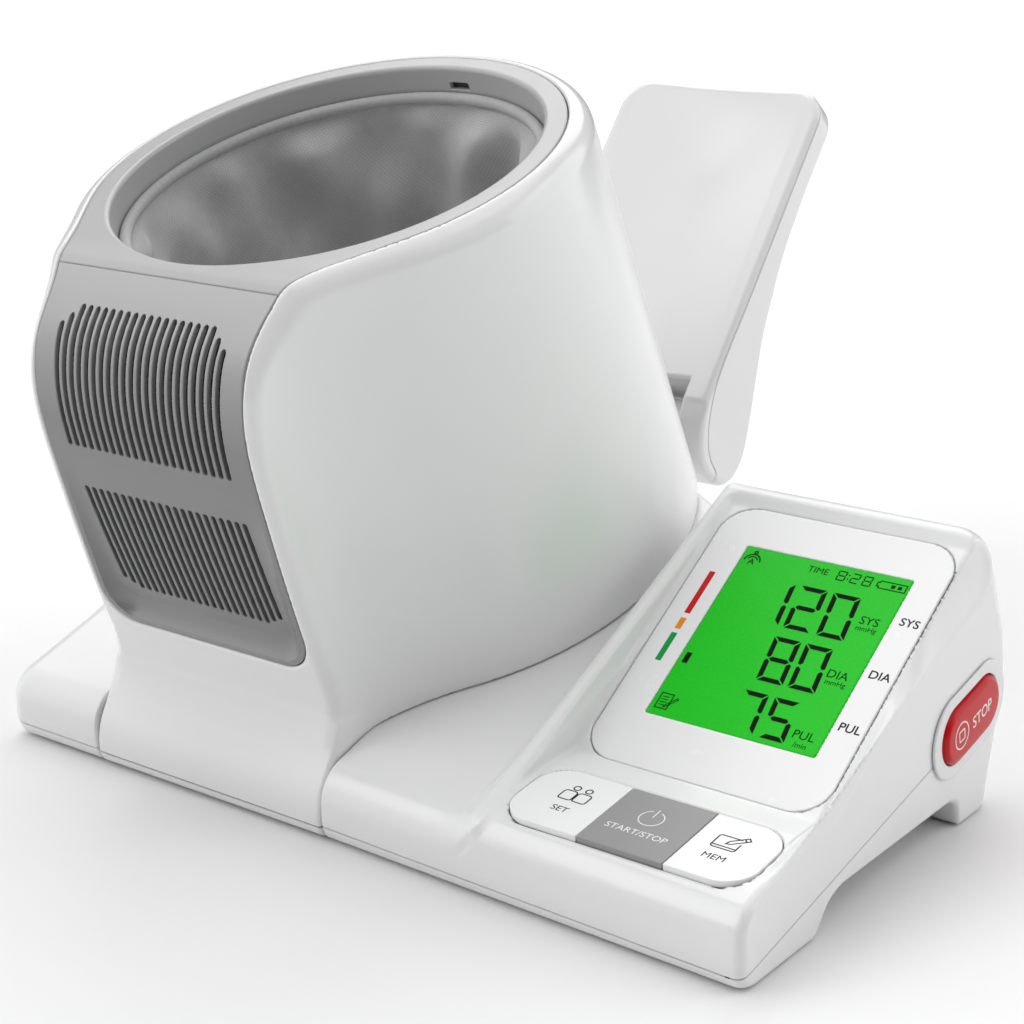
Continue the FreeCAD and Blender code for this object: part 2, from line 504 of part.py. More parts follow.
# ---------------------------------------------------------------- drum: cuff and air system
frame_tube = fuse(tube(79.2, 81.7, -148.0, -3.2), tube(77.5, 81.7, -12.0, -3.2))
drum_screws, boss_set = [], []
for a in (15, 68, 112, 165):
    cu, cv = 85.0 * math.cos(math.radians(a)), 85.0 * math.sin(math.radians(a))
    frame_tube = frame_tube.fuse(cyl((cu, cv, -150.4), (0, 0, 1), 20, 4.0))
    drum_screws.append(cyl((cu, cv, -153.9), (0, 0, 1), 1.4, 2.7).fuse(cyl((cu, cv, -152.5), (0, 0, 1), 14, 1.4)).removeSplitter())
frame_tube = frame_tube.cut(cyl((0, 0, -300), (0, 0, 1), 400, 77.5)).cut(cyl((0, 0, -148.0), (0, 0, 1), 136.0, 79.2)).removeSplitter()
floor_ring = drum_in.common(box(-130, 130, -140, 140, -153.0, -150.4)).cut(cyl((0, 0, -300), (0, 0, 1), 400, 76.6))
for s in drum_screws:
    frame_tube, floor_ring = frame_tube.cut(s), floor_ring.cut(s)
frame_tube = frame_tube.cut(box(-60, 60, -95, -70, RING_DEEP - 0.6, 5))
floor_ring = floor_ring.cut(placed(fuse(foot_grown, bottom_pan), DRUM.inverse()))
bladder = tube(75.7, 78.9, -140.0, -20.0)
sleeve = tube(73.4, 74.9, -146.0, -10.4)
piping = Part.makeTorus(73.7, 1.15, V(0, 0, -9.0), V(0, 0, 1))
tray = drum_in.common(box(-80, 80, -84.6, -82.4, -118.0, -40.0))
pump = box(-36, -6, -105.4, -84.6, -112, -72)
motor = fuse(cyl((-21, -95.8, -72), (0, 0, 1), 31, 11.0), cyl((-21, -95.8, -41), (0, 0, 1), 2.5, 4.0))
valve = fuse(cyl((20, -91.6, -80), (0, 0, 1), 22, 7.0), cyl((20, -91.6, -58), (0, 0, 1), 5, 2.2))
air_board = box(4, 38, -86.2, -84.6, -114, -94)
sensor = fuse(box(13, 25, -91.4, -86.2, -110, -98), cyl((19, -91.4, -104), (0, -1, 0), 5, 1.8))
hose_path = Part.Wire([
    Part.LineSegment(V(-6, -96.5, -88), V(6, -96.5, -88)).toShape(),
    Part.Arc(V(6, -96.5, -88), V(6 + 8 * math.sin(math.pi / 4), -96.5 + 8 - 8 * math.cos(math.pi / 4), -88), V(14, -88.5, -88)).toShape(),
    Part.LineSegment(V(14, -88.5, -88), V(14, -78.3, -88)).toShape(),
])
sec = Part.Wire([Part.Circle(V(-6, -96.5, -88), V(1, 0, 0), 2.4).toShape()])
hose = hose_path.makePipeShell([sec], True, False)
hose_hole = cyl((14, -95, -88), (0, 1, 0), 18.0, 2.6)
tray, frame_tube = tray.cut(hose_hole), frame_tube.cut(hose_hole)

# ---------------------------------------------------------------- arm rest, in its own frame (x, along, out)
body_pts = [(3.0, REST_FACE), (-4.1, 21.9), (-12.0, 17.3), (-16.9, 10.4), (-18.6, 1.0), (-17.4, -9.0), (-12.0, -15.4), (-3.0, -17.9), (5.4, -16.5), (13.1, -13.5),
            (28.2, -6.9), (36.6, -3.0), (45.2, 0.7), (53.1, 3.2), (62.5, 5.5), (74.2, 8.3), (86.5, 10.1), (99.4, 10.9), (112.5, 11.5), (136.0, 11.3),
            (REST_LEN - 4.5, 11.8), (REST_LEN - 1.2, 13.6), (REST_LEN, 17.0), (REST_LEN, REST_FACE)]
slab = yz(body_pts, -REST_HW, REST_HW).common(rrect(-REST_HW, REST_HW, -40, REST_LEN, 16.0, -60, 60))
DISH_R, DISH_Z, SKIN = 190.0, REST_FACE + 186.0, 2.6
slab = slab.cut(cyl((0, -60, DISH_Z), (0, 1, 0), 300, DISH_R))
dish_low = cyl((0, -60, DISH_Z), (0, 1, 0), 300, DISH_R + SKIN)
dish_gap = cyl((0, -60, DISH_Z), (0, 1, 0), 300, DISH_R + SKIN + 0.12)
seam_pts = [(-40, -5.0), (-15.5, -1.7), (-12.7, 5.9), (-8.3, 12.5), (-1.8, 17.3), (6.5, 21.0), (15.0, 23.0), (REST_LEN + 5, 23.0)]
upper_half = yz(seam_pts + [(REST_LEN + 5, 60), (-40, 60)], -80, 80)
lower_half = yz([(y, z - 0.12) for y, z in seam_pts] + [(REST_LEN + 5, -60), (-40, -60)], -80, 80)
notch = box(-37.5, 37.5, -40, 14.0, -60, 60)
hollow = yz([(18, 40), (18, -8.0), (28.2, -3.6), (36.6, 0.4), (45.2, 4.0), (53.1, 6.3), (62.5, 8.5), (74.2, 11.2), (86.5, 12.9), (99.4, 13.6), (112.5, 14.2), (136.0, 14.0), (REST_LEN - 7, 14.6), (REST_LEN - 7, 40)],
            -REST_HW + 3, REST_HW - 3)
hollow = hollow.common(rrect(-REST_HW + 3, REST_HW - 3, -30, REST_LEN - 3, 12.0, -60, 60))
panel = slab.common(upper_half).fuse(slab.common(dish_low)).removeSplitter().cut(notch)
shell = slab.common(lower_half).cut(dish_gap).cut(notch)
back = shell.cut(hollow)
pin_hole = cyl((-47.2, 0, 0), (1, 0, 0), 94.4, PIN_R + 0.05)
panel, back = panel.cut(pin_hole), back.cut(pin_hole)
rest_screws = []
for x in (-36, 36):
    for y, z in ((50, 11.0), (116, 16.0)):
        s = cyl((x, y, z - 1.5), (0, 0, 1), 24.1 - z, 1.5)
        back = back.fuse(cyl((x, y, -14.0), (0, 0, 1), z + 13.9, 4.4).common(shell))
        panel = panel.fuse(cyl((x, y, z), (0, 0, 1), 23.0 - z, 3.4).common(slab))
        panel = panel.cut(s)
        head = cyl((x, y, z - 3.9), (0, 0, 1), 2.4, 2.5)
        back = back.cut(cyl((x, y, -24.0), (0, 0, 1), z + 22.5, 2.6)).cut(cyl((x, y, z - 2), (0, 0, 1), 3.0, 1.6))
        rest_screws.append(s.fuse(head).removeSplitter())
rest_screw_set = Part.makeCompound(rest_screws)
panel, back = panel.removeSplitter(), back.cut(panel).removeSplitter()

# ---------------------------------------------------------------- write the pieces
save("base_upper_shell", upper)
save("base_lower_shell", lower)
save("base_screws", screw_set)
save("rubber_feet", feet_set)
save("drum_hinge_pins", Part.makeCompound(pins))
save("battery_door", door)
save("battery_cells", cell_set)
save("battery_contacts", contact_set)
save("power_inlet", jack)
save("lens_window", lens)
save("lcd_module", lcd)
save("lcd_spacers", spacer)
save("main_board", board)
save("buzzer", buzzer)
save("key_set", keys[0])
save("key_start", keys[1])
save("key_memory", keys[2])
save("key_switches", switch_set)
save("key_board", key_board)
save("stop_bezel", bezel)
save("stop_button", stop)
save("stop_switch", stop_switch)
save("stop_board", stop_board)
save("arm_rest_bracket", bracket)
save("bracket_screws", bracket_screw_set)
save("arm_rest_pin", rest_pin)
save("friction_washers", washers)
save("drum_shell_left", shell_left)
save("drum_shell_right", shell_right)
save("foot_cover", cover)
save("foot_pan", bottom_pan)
save("top_ring", fit_to_drum(ring))
save("grille_panel", fit_to_drum(grille))
save("rear_panel", fit_to_drum(rear))
save("cuff_frame", fit_to_drum(frame_tube))
save("drum_floor_ring", fit_to_drum(floor_ring))
save("drum_screws", fit_to_drum(Part.makeCompound(drum_screws)))
save("air_bladder", fit_to_drum(bladder))
save("cuff_sleeve", fit_to_drum(sleeve))
save("cuff_piping", fit_to_drum(piping))
save("pump_tray", fit_to_drum(tray))
save("air_pump", fit_to_drum(pump))
save("pump_motor", fit_to_drum(motor))
save("release_valve", fit_to_drum(valve))
save("sensor_board", fit_to_drum(air_board))
save("pressure_sensor", fit_to_drum(sensor))
save("air_hose", fit_to_drum(hose))
save("arm_rest_panel", placed(panel, REST))
save("arm_rest_back", placed(back, REST))
save("arm_rest_screws", placed(rest_screw_set, REST))

total = Part.makeCompound(list(SAVED.values())).BoundBox
print("box", [round(q, 3) for q in (total.XMin, total.XMax, total.YMin, total.YMax, total.ZMin, total.ZMax)])
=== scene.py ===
import bpy
import json
import math
import numpy as np
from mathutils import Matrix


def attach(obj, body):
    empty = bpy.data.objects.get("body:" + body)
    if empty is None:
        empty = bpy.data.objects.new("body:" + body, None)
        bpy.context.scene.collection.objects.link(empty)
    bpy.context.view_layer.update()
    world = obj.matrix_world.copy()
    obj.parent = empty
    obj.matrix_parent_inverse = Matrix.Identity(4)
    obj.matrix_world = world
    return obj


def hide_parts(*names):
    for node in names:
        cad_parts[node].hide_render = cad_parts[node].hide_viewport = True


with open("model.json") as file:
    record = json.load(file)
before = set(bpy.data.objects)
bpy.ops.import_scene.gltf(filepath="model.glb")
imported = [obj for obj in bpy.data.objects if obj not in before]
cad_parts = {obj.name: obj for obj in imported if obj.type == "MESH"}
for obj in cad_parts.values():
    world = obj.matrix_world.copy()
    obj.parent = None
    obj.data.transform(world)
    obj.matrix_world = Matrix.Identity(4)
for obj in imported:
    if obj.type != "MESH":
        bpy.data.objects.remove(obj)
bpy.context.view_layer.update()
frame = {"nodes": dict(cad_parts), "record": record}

from concurrent.futures import ThreadPoolExecutor
from mathutils import Matrix, Vector

# The shapes are written in millimetres in a working frame: X right along the front edge, Y back, Z up.
ORIGIN = np.array([147.4, 154.4, 0.0])
POOL = ThreadPoolExecutor(4)


# ---------------------------------------------------------------- distance fields
def rmax(a, b, r):
    """Intersection with a round edge of radius r."""
    return np.minimum(np.maximum(a, b), -r) + np.sqrt(np.maximum(a + r, 0) ** 2 + np.maximum(b + r, 0) ** 2)


def runion(a, b, r):
    """Union with a round fillet of radius r."""
    return np.maximum(np.minimum(a, b), r) - np.sqrt(np.maximum(r - a, 0) ** 2 + np.maximum(r - b, 0) ** 2)


def smin(a, b, k):
    h = np.maximum(k - np.abs(a - b), 0) / k
    return np.minimum(a, b) - h * h * k * 0.25


def smax(a, b, k):
    return -smin(-a, -b, k)


def step(a, b, x):
    t = np.clip((x - a) / (b - a), 0, 1)
    return t * t * (3 - 2 * t)


def rrect(x, y, hx, hy, r):
    qx, qy = np.abs(x) - hx + r, np.abs(y) - hy + r
    return np.minimum(np.maximum(qx, qy), 0) + np.sqrt(np.maximum(qx, 0) ** 2 + np.maximum(qy, 0) ** 2) - r


def stadium(a, b, length, width):
    return np.sqrt(np.maximum(np.abs(a) - (length - width) / 2, 0) ** 2 + b * b) - width / 2


def spline(pts, n=8):
    """Smooth line through the points."""
    p = np.array(pts, float)
    q = np.vstack([2 * p[0] - p[1], p, 2 * p[-1] - p[-2]])
    out = []
    for i in range(1, len(q) - 2):
        p0, p1, p2, p3 = q[i - 1], q[i], q[i + 1], q[i + 2]
        t0 = 0.0
        t1 = t0 + max(np.linalg.norm(p1 - p0), 1e-6) ** 0.5
        t2 = t1 + max(np.linalg.norm(p2 - p1), 1e-6) ** 0.5
        t3 = t2 + max(np.linalg.norm(p3 - p2), 1e-6) ** 0.5
        for t in np.linspace(t1, t2, n, endpoint=False):
            a1 = (t1 - t) / (t1 - t0) * p0 + (t - t0) / (t1 - t0) * p1
            a2 = (t2 - t) / (t2 - t1) * p1 + (t - t1) / (t2 - t1) * p2
            a3 = (t3 - t) / (t3 - t2) * p2 + (t - t2) / (t3 - t2) * p3
            b1 = (t2 - t) / (t2 - t0) * a1 + (t - t0) / (t2 - t0) * a2
            b2 = (t3 - t) / (t3 - t1) * a2 + (t - t1) / (t3 - t1) * a3
            out.append((t2 - t) / (t2 - t1) * b1 + (t - t1) / (t2 - t1) * b2)
    out.append(p[-1])
    return [tuple(o) for o in out]


def rounded(corners, n=8):
    """Polygon with its corners (x, y, radius) rounded off."""
    out = []
    m = len(corners)
    for i in range(m):
        p = np.array(corners[i][:2], float)
        r = corners[i][2]
        a, b = np.array(corners[i - 1][:2], float), np.array(corners[(i + 1) % m][:2], float)
        if r <= 0:
            out.append(tuple(p))
            continue
        da, db = (a - p) / np.linalg.norm(a - p), (b - p) / np.linalg.norm(b - p)
        half = math.acos(max(-1, min(1, float(da @ db)))) / 2
        d = min(r / math.tan(half), 0.49 * np.linalg.norm(a - p), 0.49 * np.linalg.norm(b - p))
        rr = d * math.tan(half)
        c = p + (da + db) / np.linalg.norm(da + db) * rr / math.sin(half)
        s, e = p + da * d - c, p + db * d - c
        a0 = math.atan2(s[1], s[0])
        da_ = (math.atan2(e[1], e[0]) - a0 + math.pi) % (2 * math.pi) - math.pi
        for t in np.linspace(0, 1, n + 1):
            out.append((c[0] + rr * math.cos(a0 + da_ * t), c[1] + rr * math.sin(a0 + da_ * t)))
    return out


class Table:
    """Signed distance to a closed polygon, kept on a fine grid."""

    def __init__(self, poly, lo, hi, s=0.5):
        self.lo, self.s = np.array(lo, float), s
        n = [int(math.ceil((hi[i] - lo[i]) / s)) + 1 for i in (0, 1)]
        X, Y = np.meshgrid(lo[0] + s * np.arange(n[0]), lo[1] + s * np.arange(n[1]), indexing="ij")
        rows = np.array_split(np.arange(n[0]), 8)
        P = np.array(poly, float)

        def block(r):
            return self.exact(P, X[r].ravel(), Y[r].ravel()).reshape(len(r), n[1])

        self.g = np.concatenate(list(POOL.map(block, rows))).astype(np.float32)
        self.flat = np.ascontiguousarray(self.g).ravel()
        self.n = n

    @staticmethod
    def exact(P, x, y):
        d2 = np.full(x.shape, 1e12)
        inside = np.zeros(x.shape, bool)
        for i in range(len(P)):
            (ax, ay), (bx, by) = P[i], P[(i + 1) % len(P)]
            ex, ey = bx - ax, by - ay
            l2 = ex * ex + ey * ey
            if l2 < 1e-12:
                continue
            wx, wy = x - ax, y - ay
            t = np.clip((wx * ex + wy * ey) / l2, 0, 1)
            d2 = np.minimum(d2, (wx - ex * t) ** 2 + (wy - ey * t) ** 2)
            if ey != 0:
                inside ^= ((ay > y) != (by > y)) & (x < ex * (y - ay) / ey + ax)
        return np.where(inside, -1, 1) * np.sqrt(d2)

    def __call__(self, a, b):
        n0, n1 = self.n
        fa = np.clip((a - self.lo[0]) / self.s, 0, n0 - 1.001)
        fb = np.clip((b - self.lo[1]) / self.s, 0, n1 - 1.001)
        i, j = fa.astype(np.int32), fb.astype(np.int32)
        ta, tb = fa - i, fb - j
        k = i * n1 + j
        g = self.flat
        return (g[k] * (1 - tb) + g[k + 1] * tb) * (1 - ta) + (g[k + n1] * (1 - tb) + g[k + n1 + 1] * tb) * ta


# ---------------------------------------------------------------- skins: a distance field becomes a mesh
def chunks(f, P, n=40000):
    parts = [P[i:i + n] for i in range(0, len(P), n)]
    return np.concatenate(list(POOL.map(lambda q: f(q[:, 0], q[:, 1], q[:, 2]), parts)))


def slope(f, P, e):
    g = np.empty_like(P)
    for k in range(3):
        q = P.copy()
        q[:, k] += e
        a = chunks(f, q)
        q[:, k] -= 2 * e
        g[:, k] = a - chunks(f, q)
    return g / (2 * e)


def skin(f, lo, hi, h):
    """Vertices and quads of the surface f = 0 (surface nets, vertices then moved onto the surface)."""
    B = 8
    lo = np.array(lo, float)
    n = [int(math.ceil((hi[i] - lo[i]) / h / B)) * B for i in range(3)]
    nb = [q // B for q in n]
    cen = [lo[i] + h * B * (np.arange(nb[i]) + 0.5) for i in range(3)]
    C = np.stack(np.meshgrid(*cen, indexing="ij"), -1).reshape(-1, 3)
    dc = chunks(f, C).reshape(nb)
    V = np.where(dc < 0, -9.0, 9.0).astype(np.float32)
    for k in range(3):
        V = np.repeat(V, B, axis=k)
    V = np.pad(V, ((0, 1),) * 3, mode="edge")
    act = np.argwhere(np.abs(dc) < h * B * 0.87 * 1.3)
    o = np.arange(B + 1)
    oi, oj, ok = [q.ravel() for q in np.meshgrid(o, o, o, indexing="ij")]

    def fill(part):
        I = (part[:, 0:1] * B + oi).ravel()
        J = (part[:, 1:2] * B + oj).ravel()
        K = (part[:, 2:3] * B + ok).ravel()
        x = (lo[0] + h * I).astype(np.float32)
        y = (lo[1] + h * J).astype(np.float32)
        z = (lo[2] + h * K).astype(np.float32)
        V[I, J, K] = f(x, y, z)

    list(POOL.map(fill, [act[i:i + 60] for i in range(0, len(act), 60)]))
    S = (V < 0).view(np.uint8)
    c = np.zeros(n, np.uint8)
    corner = [(a, b, d) for a in (0, 1) for b in (0, 1) for d in (0, 1)]
    for a, b, d in corner:
        c += S[a:n[0] + a, b:n[1] + b, d:n[2] + d]
    m = (c > 0) & (c < 8)
    cells = np.argwhere(m)
    ids = np.full(n, -1, np.int32)
    ids[m] = np.arange(len(cells), dtype=np.int32)
    val = {q: V[cells[:, 0] + q[0], cells[:, 1] + q[1], cells[:, 2] + q[2]] for q in corner}
    acc = np.zeros((len(cells), 3))
    cnt = np.zeros(len(cells))
    for p in corner:
        for k in range(3):
            if p[k]:
                continue
            q = tuple(1 if i == k else p[i] for i in range(3))
            a, b = val[p], val[q]
            hit = (a < 0) != (b < 0)
            t = np.where(hit, a / np.where(hit, a - b, 1), 0)
            pt = np.array(p, float)[None, :].repeat(len(cells), 0)
            pt[:, k] = t
            acc += pt * hit[:, None]
            cnt += hit
    P = lo + h * (cells + acc / cnt[:, None])
    quads = []
    for k in range(3):
        a, b = [(1, 2), (2, 0), (0, 1)][k]
        s0 = [slice(0, n[i] + 1) for i in range(3)]
        s1 = list(s0)
        s0[k], s1[k] = slice(0, n[k]), slice(1, n[k] + 1)
        A, Bv = S[tuple(s0)], S[tuple(s1)]
        E = np.argwhere(A != Bv)
        E = E[(E[:, a] > 0) & (E[:, b] > 0) & (E[:, a] < n[a]) & (E[:, b] < n[b])]
        flip = S[E[:, 0], E[:, 1], E[:, 2]] == 0

        def cell(da, db):
            q = E.copy()
            q[:, a] += da
            q[:, b] += db
            return ids[q[:, 0], q[:, 1], q[:, 2]]

        Q = np.stack([cell(-1, -1), cell(0, -1), cell(0, 0), cell(-1, 0)], 1)
        Q[flip] = Q[flip][:, ::-1]
        quads.append(Q)
    Q = np.concatenate(quads)
    Q = Q[(Q >= 0).all(1)]
    e = min(0.25, 0.3 * h)
    for _ in range(2):
        d = chunks(f, P)
        g = slope(f, P, e)
        mv = g * (d / np.maximum((g * g).sum(1), 0.2))[:, None]
        ln = np.linalg.norm(mv, axis=1)
        mv *= np.minimum(1, 0.7 * h / np.maximum(ln, 1e-9))[:, None]
        P = P - mv
    return P, Q


def set_normals(me, N):
    N = N / np.maximum(np.linalg.norm(N, axis=1), 1e-9)[:, None]
    me.polygons.foreach_set("use_smooth", np.ones(len(me.polygons), bool))
    me.normals_split_custom_set_from_vertices(N.astype(np.float32))


def build_mesh(name, P, faces):
    me = bpy.data.meshes.new(name)
    me.from_pydata([], [], [])
    k = faces.shape[1]
    me.vertices.add(len(P))
    me.vertices.foreach_set("co", (P.astype(np.float32)).ravel())
    me.loops.add(len(faces) * k)
    me.loops.foreach_set("vertex_index", faces.astype(np.int32).ravel())
    me.polygons.add(len(faces))
    me.polygons.foreach_set("loop_start", np.arange(0, len(faces) * k, k, dtype=np.int32))
    me.update(calc_edges=True)
    return me


def to_row(P):
    return (P - ORIGIN) * 0.001


def add_object(name, me, mat, body, slot=None, nodes=()):
    ob = bpy.data.objects.new(name, me)
    bpy.context.scene.collection.objects.link(ob)
    if mat is not None:
        me.materials.clear()
        me.materials.append(mat)
    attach(ob, body)
    if nodes:
        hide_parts(*nodes)
    return ob


def crisp(P, h, edges):
    """Moves the vertices nearest to an edge (where both fields are zero) onto it, so that seams run straight."""
    for f, g in edges:
        pick = np.where((np.abs(chunks(f, P)) < 0.95 * h) & (np.abs(chunks(g, P)) < 0.95 * h))[0]
        if not len(pick):
            continue
        q = P[pick].copy()
        for _ in range(4):
            for k in (f, g):
                n = slope(k, q, 0.12)
                q -= n * (chunks(k, q) / np.maximum((n * n).sum(1), 0.2))[:, None]
        ok = np.linalg.norm(q - P[pick], axis=1) < 1.6 * h
        P[pick[ok]] = q[ok]
    return P


def solid(name, f, lo, hi, h, mat, body, slot=None, nodes=(), tris=170000, eps=None, edges=()):
    """A moulded piece from its distance field."""
    P, Q = skin(f, lo, hi, h)
    if edges:
        P = crisp(P, h, edges)
    me = build_mesh(name, P, Q)
    if 2 * len(Q) > tris:
        tmp = bpy.data.objects.new(name + ".tmp", me)
        bpy.context.scene.collection.objects.link(tmp)
        md = tmp.modifiers.new("d", "DECIMATE")
        md.ratio = tris / (2.0 * len(Q))
        md.use_collapse_triangulate = True
        dg = bpy.context.evaluated_depsgraph_get()
        new = bpy.data.meshes.new_from_object(tmp.evaluated_get(dg))
        bpy.data.objects.remove(tmp)
        bpy.data.meshes.remove(me)
        me = new
        me.name = name
        P = np.empty(len(me.vertices) * 3, np.float32)
        me.vertices.foreach_get("co", P)
        P = P.reshape(-1, 3).astype(float)
    e = eps if eps else min(0.3, 0.35 * h)
    N = slope(f, P, e)
    for k, g in edges:
        rim = np.where((np.abs(chunks(k, P)) < 0.06) & (np.abs(chunks(g, P)) < 0.6))[0]
        if len(rim):
            N[rim] = slope(k, P[rim], 0.3)
    me.vertices.foreach_set("co", to_row(P).astype(np.float32).ravel())
    me.update()
    set_normals(me, N)
    return add_object(name, me, mat, body, slot, nodes)


# ---------------------------------------------------------------- materials
def nodes_of(name):
    m = bpy.data.materials.new(name)
    m.use_nodes = True
    nt = m.node_tree
    nt.nodes.clear()
    out = nt.nodes.new("ShaderNodeOutputMaterial")
    b = nt.nodes.new("ShaderNodeBsdfPrincipled")
    nt.links.new(b.outputs[0], out.inputs[0])
    return m, nt, b


def noise(nt, co, scale, detail=3.0, rough=0.5):
    n = nt.nodes.new("ShaderNodeTexNoise")
    n.inputs["Scale"].default_value = scale
    n.inputs["Detail"].default_value = detail
    n.inputs["Roughness"].default_value = rough
    nt.links.new(co, n.inputs["Vector"])
    return n


def ramp(nt, fac, stops):
    r = nt.nodes.new("ShaderNodeValToRGB")
    el = r.color_ramp.elements
    while len(el) < len(stops):
        el.new(0.5)
    for e, (p, c) in zip(el, stops):
        e.position = p
        e.color = (c[0], c[1], c[2], 1) if hasattr(c, "__len__") else (c, c, c, 1)
    nt.links.new(fac, r.inputs[0])
    return r


def plastic(name, col, rough=0.3, var=0.02, grain=0.0, grain_scale=2600.0, coat=0.0, metallic=0.0, spec=0.5, sss=0.0, r_var=0.05, wear=0.0):
    """Moulded plastic: faint colour drift, uneven gloss and a fine surface grain."""
    m, nt, b = nodes_of(name)
    co = nt.nodes.new("ShaderNodeTexCoord").outputs["Object"]
    big = noise(nt, co, 14.0, 2.0)
    lo = tuple(max(0, c * (1 - var)) for c in col)
    hi = tuple(min(1, c * (1 + var)) for c in col)
    c = ramp(nt, big.outputs["Fac"], [(0.3, lo), (0.7, hi)])
    nt.links.new(c.outputs[0], b.inputs["Base Color"])
    mid = noise(nt, co, 90.0, 4.0, 0.6)
    rr = ramp(nt, mid.outputs["Fac"], [(0.25, max(0.02, rough - r_var)), (0.75, min(1, rough + r_var))])
    nt.links.new(rr.outputs[0], b.inputs["Roughness"])
    if grain > 0:
        g = noise(nt, co, grain_scale, 2.0, 0.6)
        bp = nt.nodes.new("ShaderNodeBump")
        bp.inputs["Strength"].default_value = grain
        bp.inputs["Distance"].default_value = 0.0002
        nt.links.new(g.outputs["Fac"], bp.inputs["Height"])
        nt.links.new(bp.outputs[0], b.inputs["Normal"])
    b.inputs["Metallic"].default_value = metallic
    b.inputs["Specular IOR Level"].default_value = spec
    if coat > 0:
        b.inputs["Coat Weight"].default_value = coat
        b.inputs["Coat Roughness"].default_value = 0.12
    return m


def brushed(name, col, rough=0.35):
    """Turned or drawn metal with fine streaks."""
    m, nt, b = nodes_of(name)
    tc = nt.nodes.new("ShaderNodeTexCoord").outputs["Object"]
    mp = nt.nodes.new("ShaderNodeMapping")
    mp.inputs["Scale"].default_value = (200.0, 2200.0, 2200.0)
    nt.links.new(tc, mp.inputs["Vector"])
    n = noise(nt, mp.outputs[0], 1.0, 4.0, 0.6)
    c = ramp(nt, n.outputs["Fac"], [(0.3, tuple(q * 0.85 for q in col)), (0.7, col)])
    nt.links.new(c.outputs[0], b.inputs["Base Color"])
    rr = ramp(nt, n.outputs["Fac"], [(0.3, rough - 0.08), (0.7, rough + 0.1)])
    nt.links.new(rr.outputs[0], b.inputs["Roughness"])
    b.inputs["Metallic"].default_value = 1.0
    return m


def weave(name, col_a, col_b, pitch=0.0007, depth=0.6):
    """Plain woven cloth; its threads follow the flat cloth's own coordinates."""
    m, nt, b = nodes_of(name)
    at = nt.nodes.new("ShaderNodeAttribute")
    at.attribute_name = "flat"
    co = at.outputs["Vector"]
    sep = nt.nodes.new("ShaderNodeSeparateXYZ")
    nt.links.new(co, sep.inputs[0])

    def math_node(op, a, v=None):
        k = nt.nodes.new("ShaderNodeMath")
        k.operation = op
        nt.links.new(a, k.inputs[0])
        if v is not None:
            if hasattr(v, "is_linked"):
                nt.links.new(v, k.inputs[1])
            else:
                k.inputs[1].default_value = v
        return k.outputs[0]

    w = math.pi / pitch
    sx = math_node("SINE", math_node("MULTIPLY", sep.outputs[0], w))
    sy = math_node("SINE", math_node("MULTIPLY", sep.outputs[1], w))
    cross = math_node("MULTIPLY", sx, sy)
    ax = math_node("ABSOLUTE", math_node("SINE", math_node("MULTIPLY", sep.outputs[0], w)))
    ay = math_node("ABSOLUTE", math_node("SINE", math_node("MULTIPLY", sep.outputs[1], w)))
    thread = math_node("ADD", math_node("MULTIPLY", math_node("ADD", ax, ay), 0.35), math_node("MULTIPLY", cross, 0.3))
    fuzz = noise(nt, co, 4000.0, 2.0, 0.7)
    slub = noise(nt, co, 60.0, 4.0, 0.6)
    height = math_node("ADD", thread, math_node("MULTIPLY", fuzz.outputs["Fac"], 0.35))
    mixf = math_node("ADD", math_node("MULTIPLY", thread, 0.55), math_node("MULTIPLY", slub.outputs["Fac"], 0.5))
    c = ramp(nt, mixf, [(0.1, col_a), (0.85, col_b)])
    nt.links.new(c.outputs[0], b.inputs["Base Color"])
    bp = nt.nodes.new("ShaderNodeBump")
    bp.inputs["Strength"].default_value = depth
    bp.inputs["Distance"].default_value = 0.0003
    nt.links.new(height, bp.inputs["Height"])
    nt.links.new(bp.outputs[0], b.inputs["Normal"])
    b.inputs["Roughness"].default_value = 0.85
    b.inputs["Sheen Weight"].default_value = 0.25
    b.inputs["Sheen Roughness"].default_value = 0.4
    b.inputs["Specular IOR Level"].default_value = 0.2
    return m


def screen(name, col, glow):
    """Backlit display: even colour with a faint cell pattern."""
    m, nt, b = nodes_of(name)
    co = nt.nodes.new("ShaderNodeTexCoord").outputs["Object"]
    n = noise(nt, co, 35.0, 2.0)
    c = ramp(nt, n.outputs["Fac"], [(0.3, tuple(q * 0.97 for q in col)), (0.7, col)])
    nt.links.new(c.outputs[0], b.inputs["Base Color"])
    nt.links.new(c.outputs[0], b.inputs["Emission Color"])
    b.inputs["Emission Strength"].default_value = glow
    f = noise(nt, co, 900.0, 2.0)
    rr = ramp(nt, f.outputs["Fac"], [(0.3, 0.22), (0.7, 0.32)])
    nt.links.new(rr.outputs[0], b.inputs["Roughness"])
    b.inputs["Specular IOR Level"].default_value = 0.12
    return m


def ink(name, col, rough=0.45, spec=0.12):
    """Screen-printed ink: thin, slightly uneven cover."""
    m, nt, b = nodes_of(name)
    co = nt.nodes.new("ShaderNodeTexCoord").outputs["Object"]
    n = noise(nt, co, 1500.0, 3.0, 0.7)
    c = ramp(nt, n.outputs["Fac"], [(0.2, tuple(min(1, q * 1.12 + 0.006) for q in col)), (0.8, col)])
    nt.links.new(c.outputs[0], b.inputs["Base Color"])
    rr = ramp(nt, n.outputs["Fac"], [(0.2, rough - 0.06), (0.8, rough + 0.08)])
    nt.links.new(rr.outputs[0], b.inputs["Roughness"])
    b.inputs["Specular IOR Level"].default_value = spec
    return m


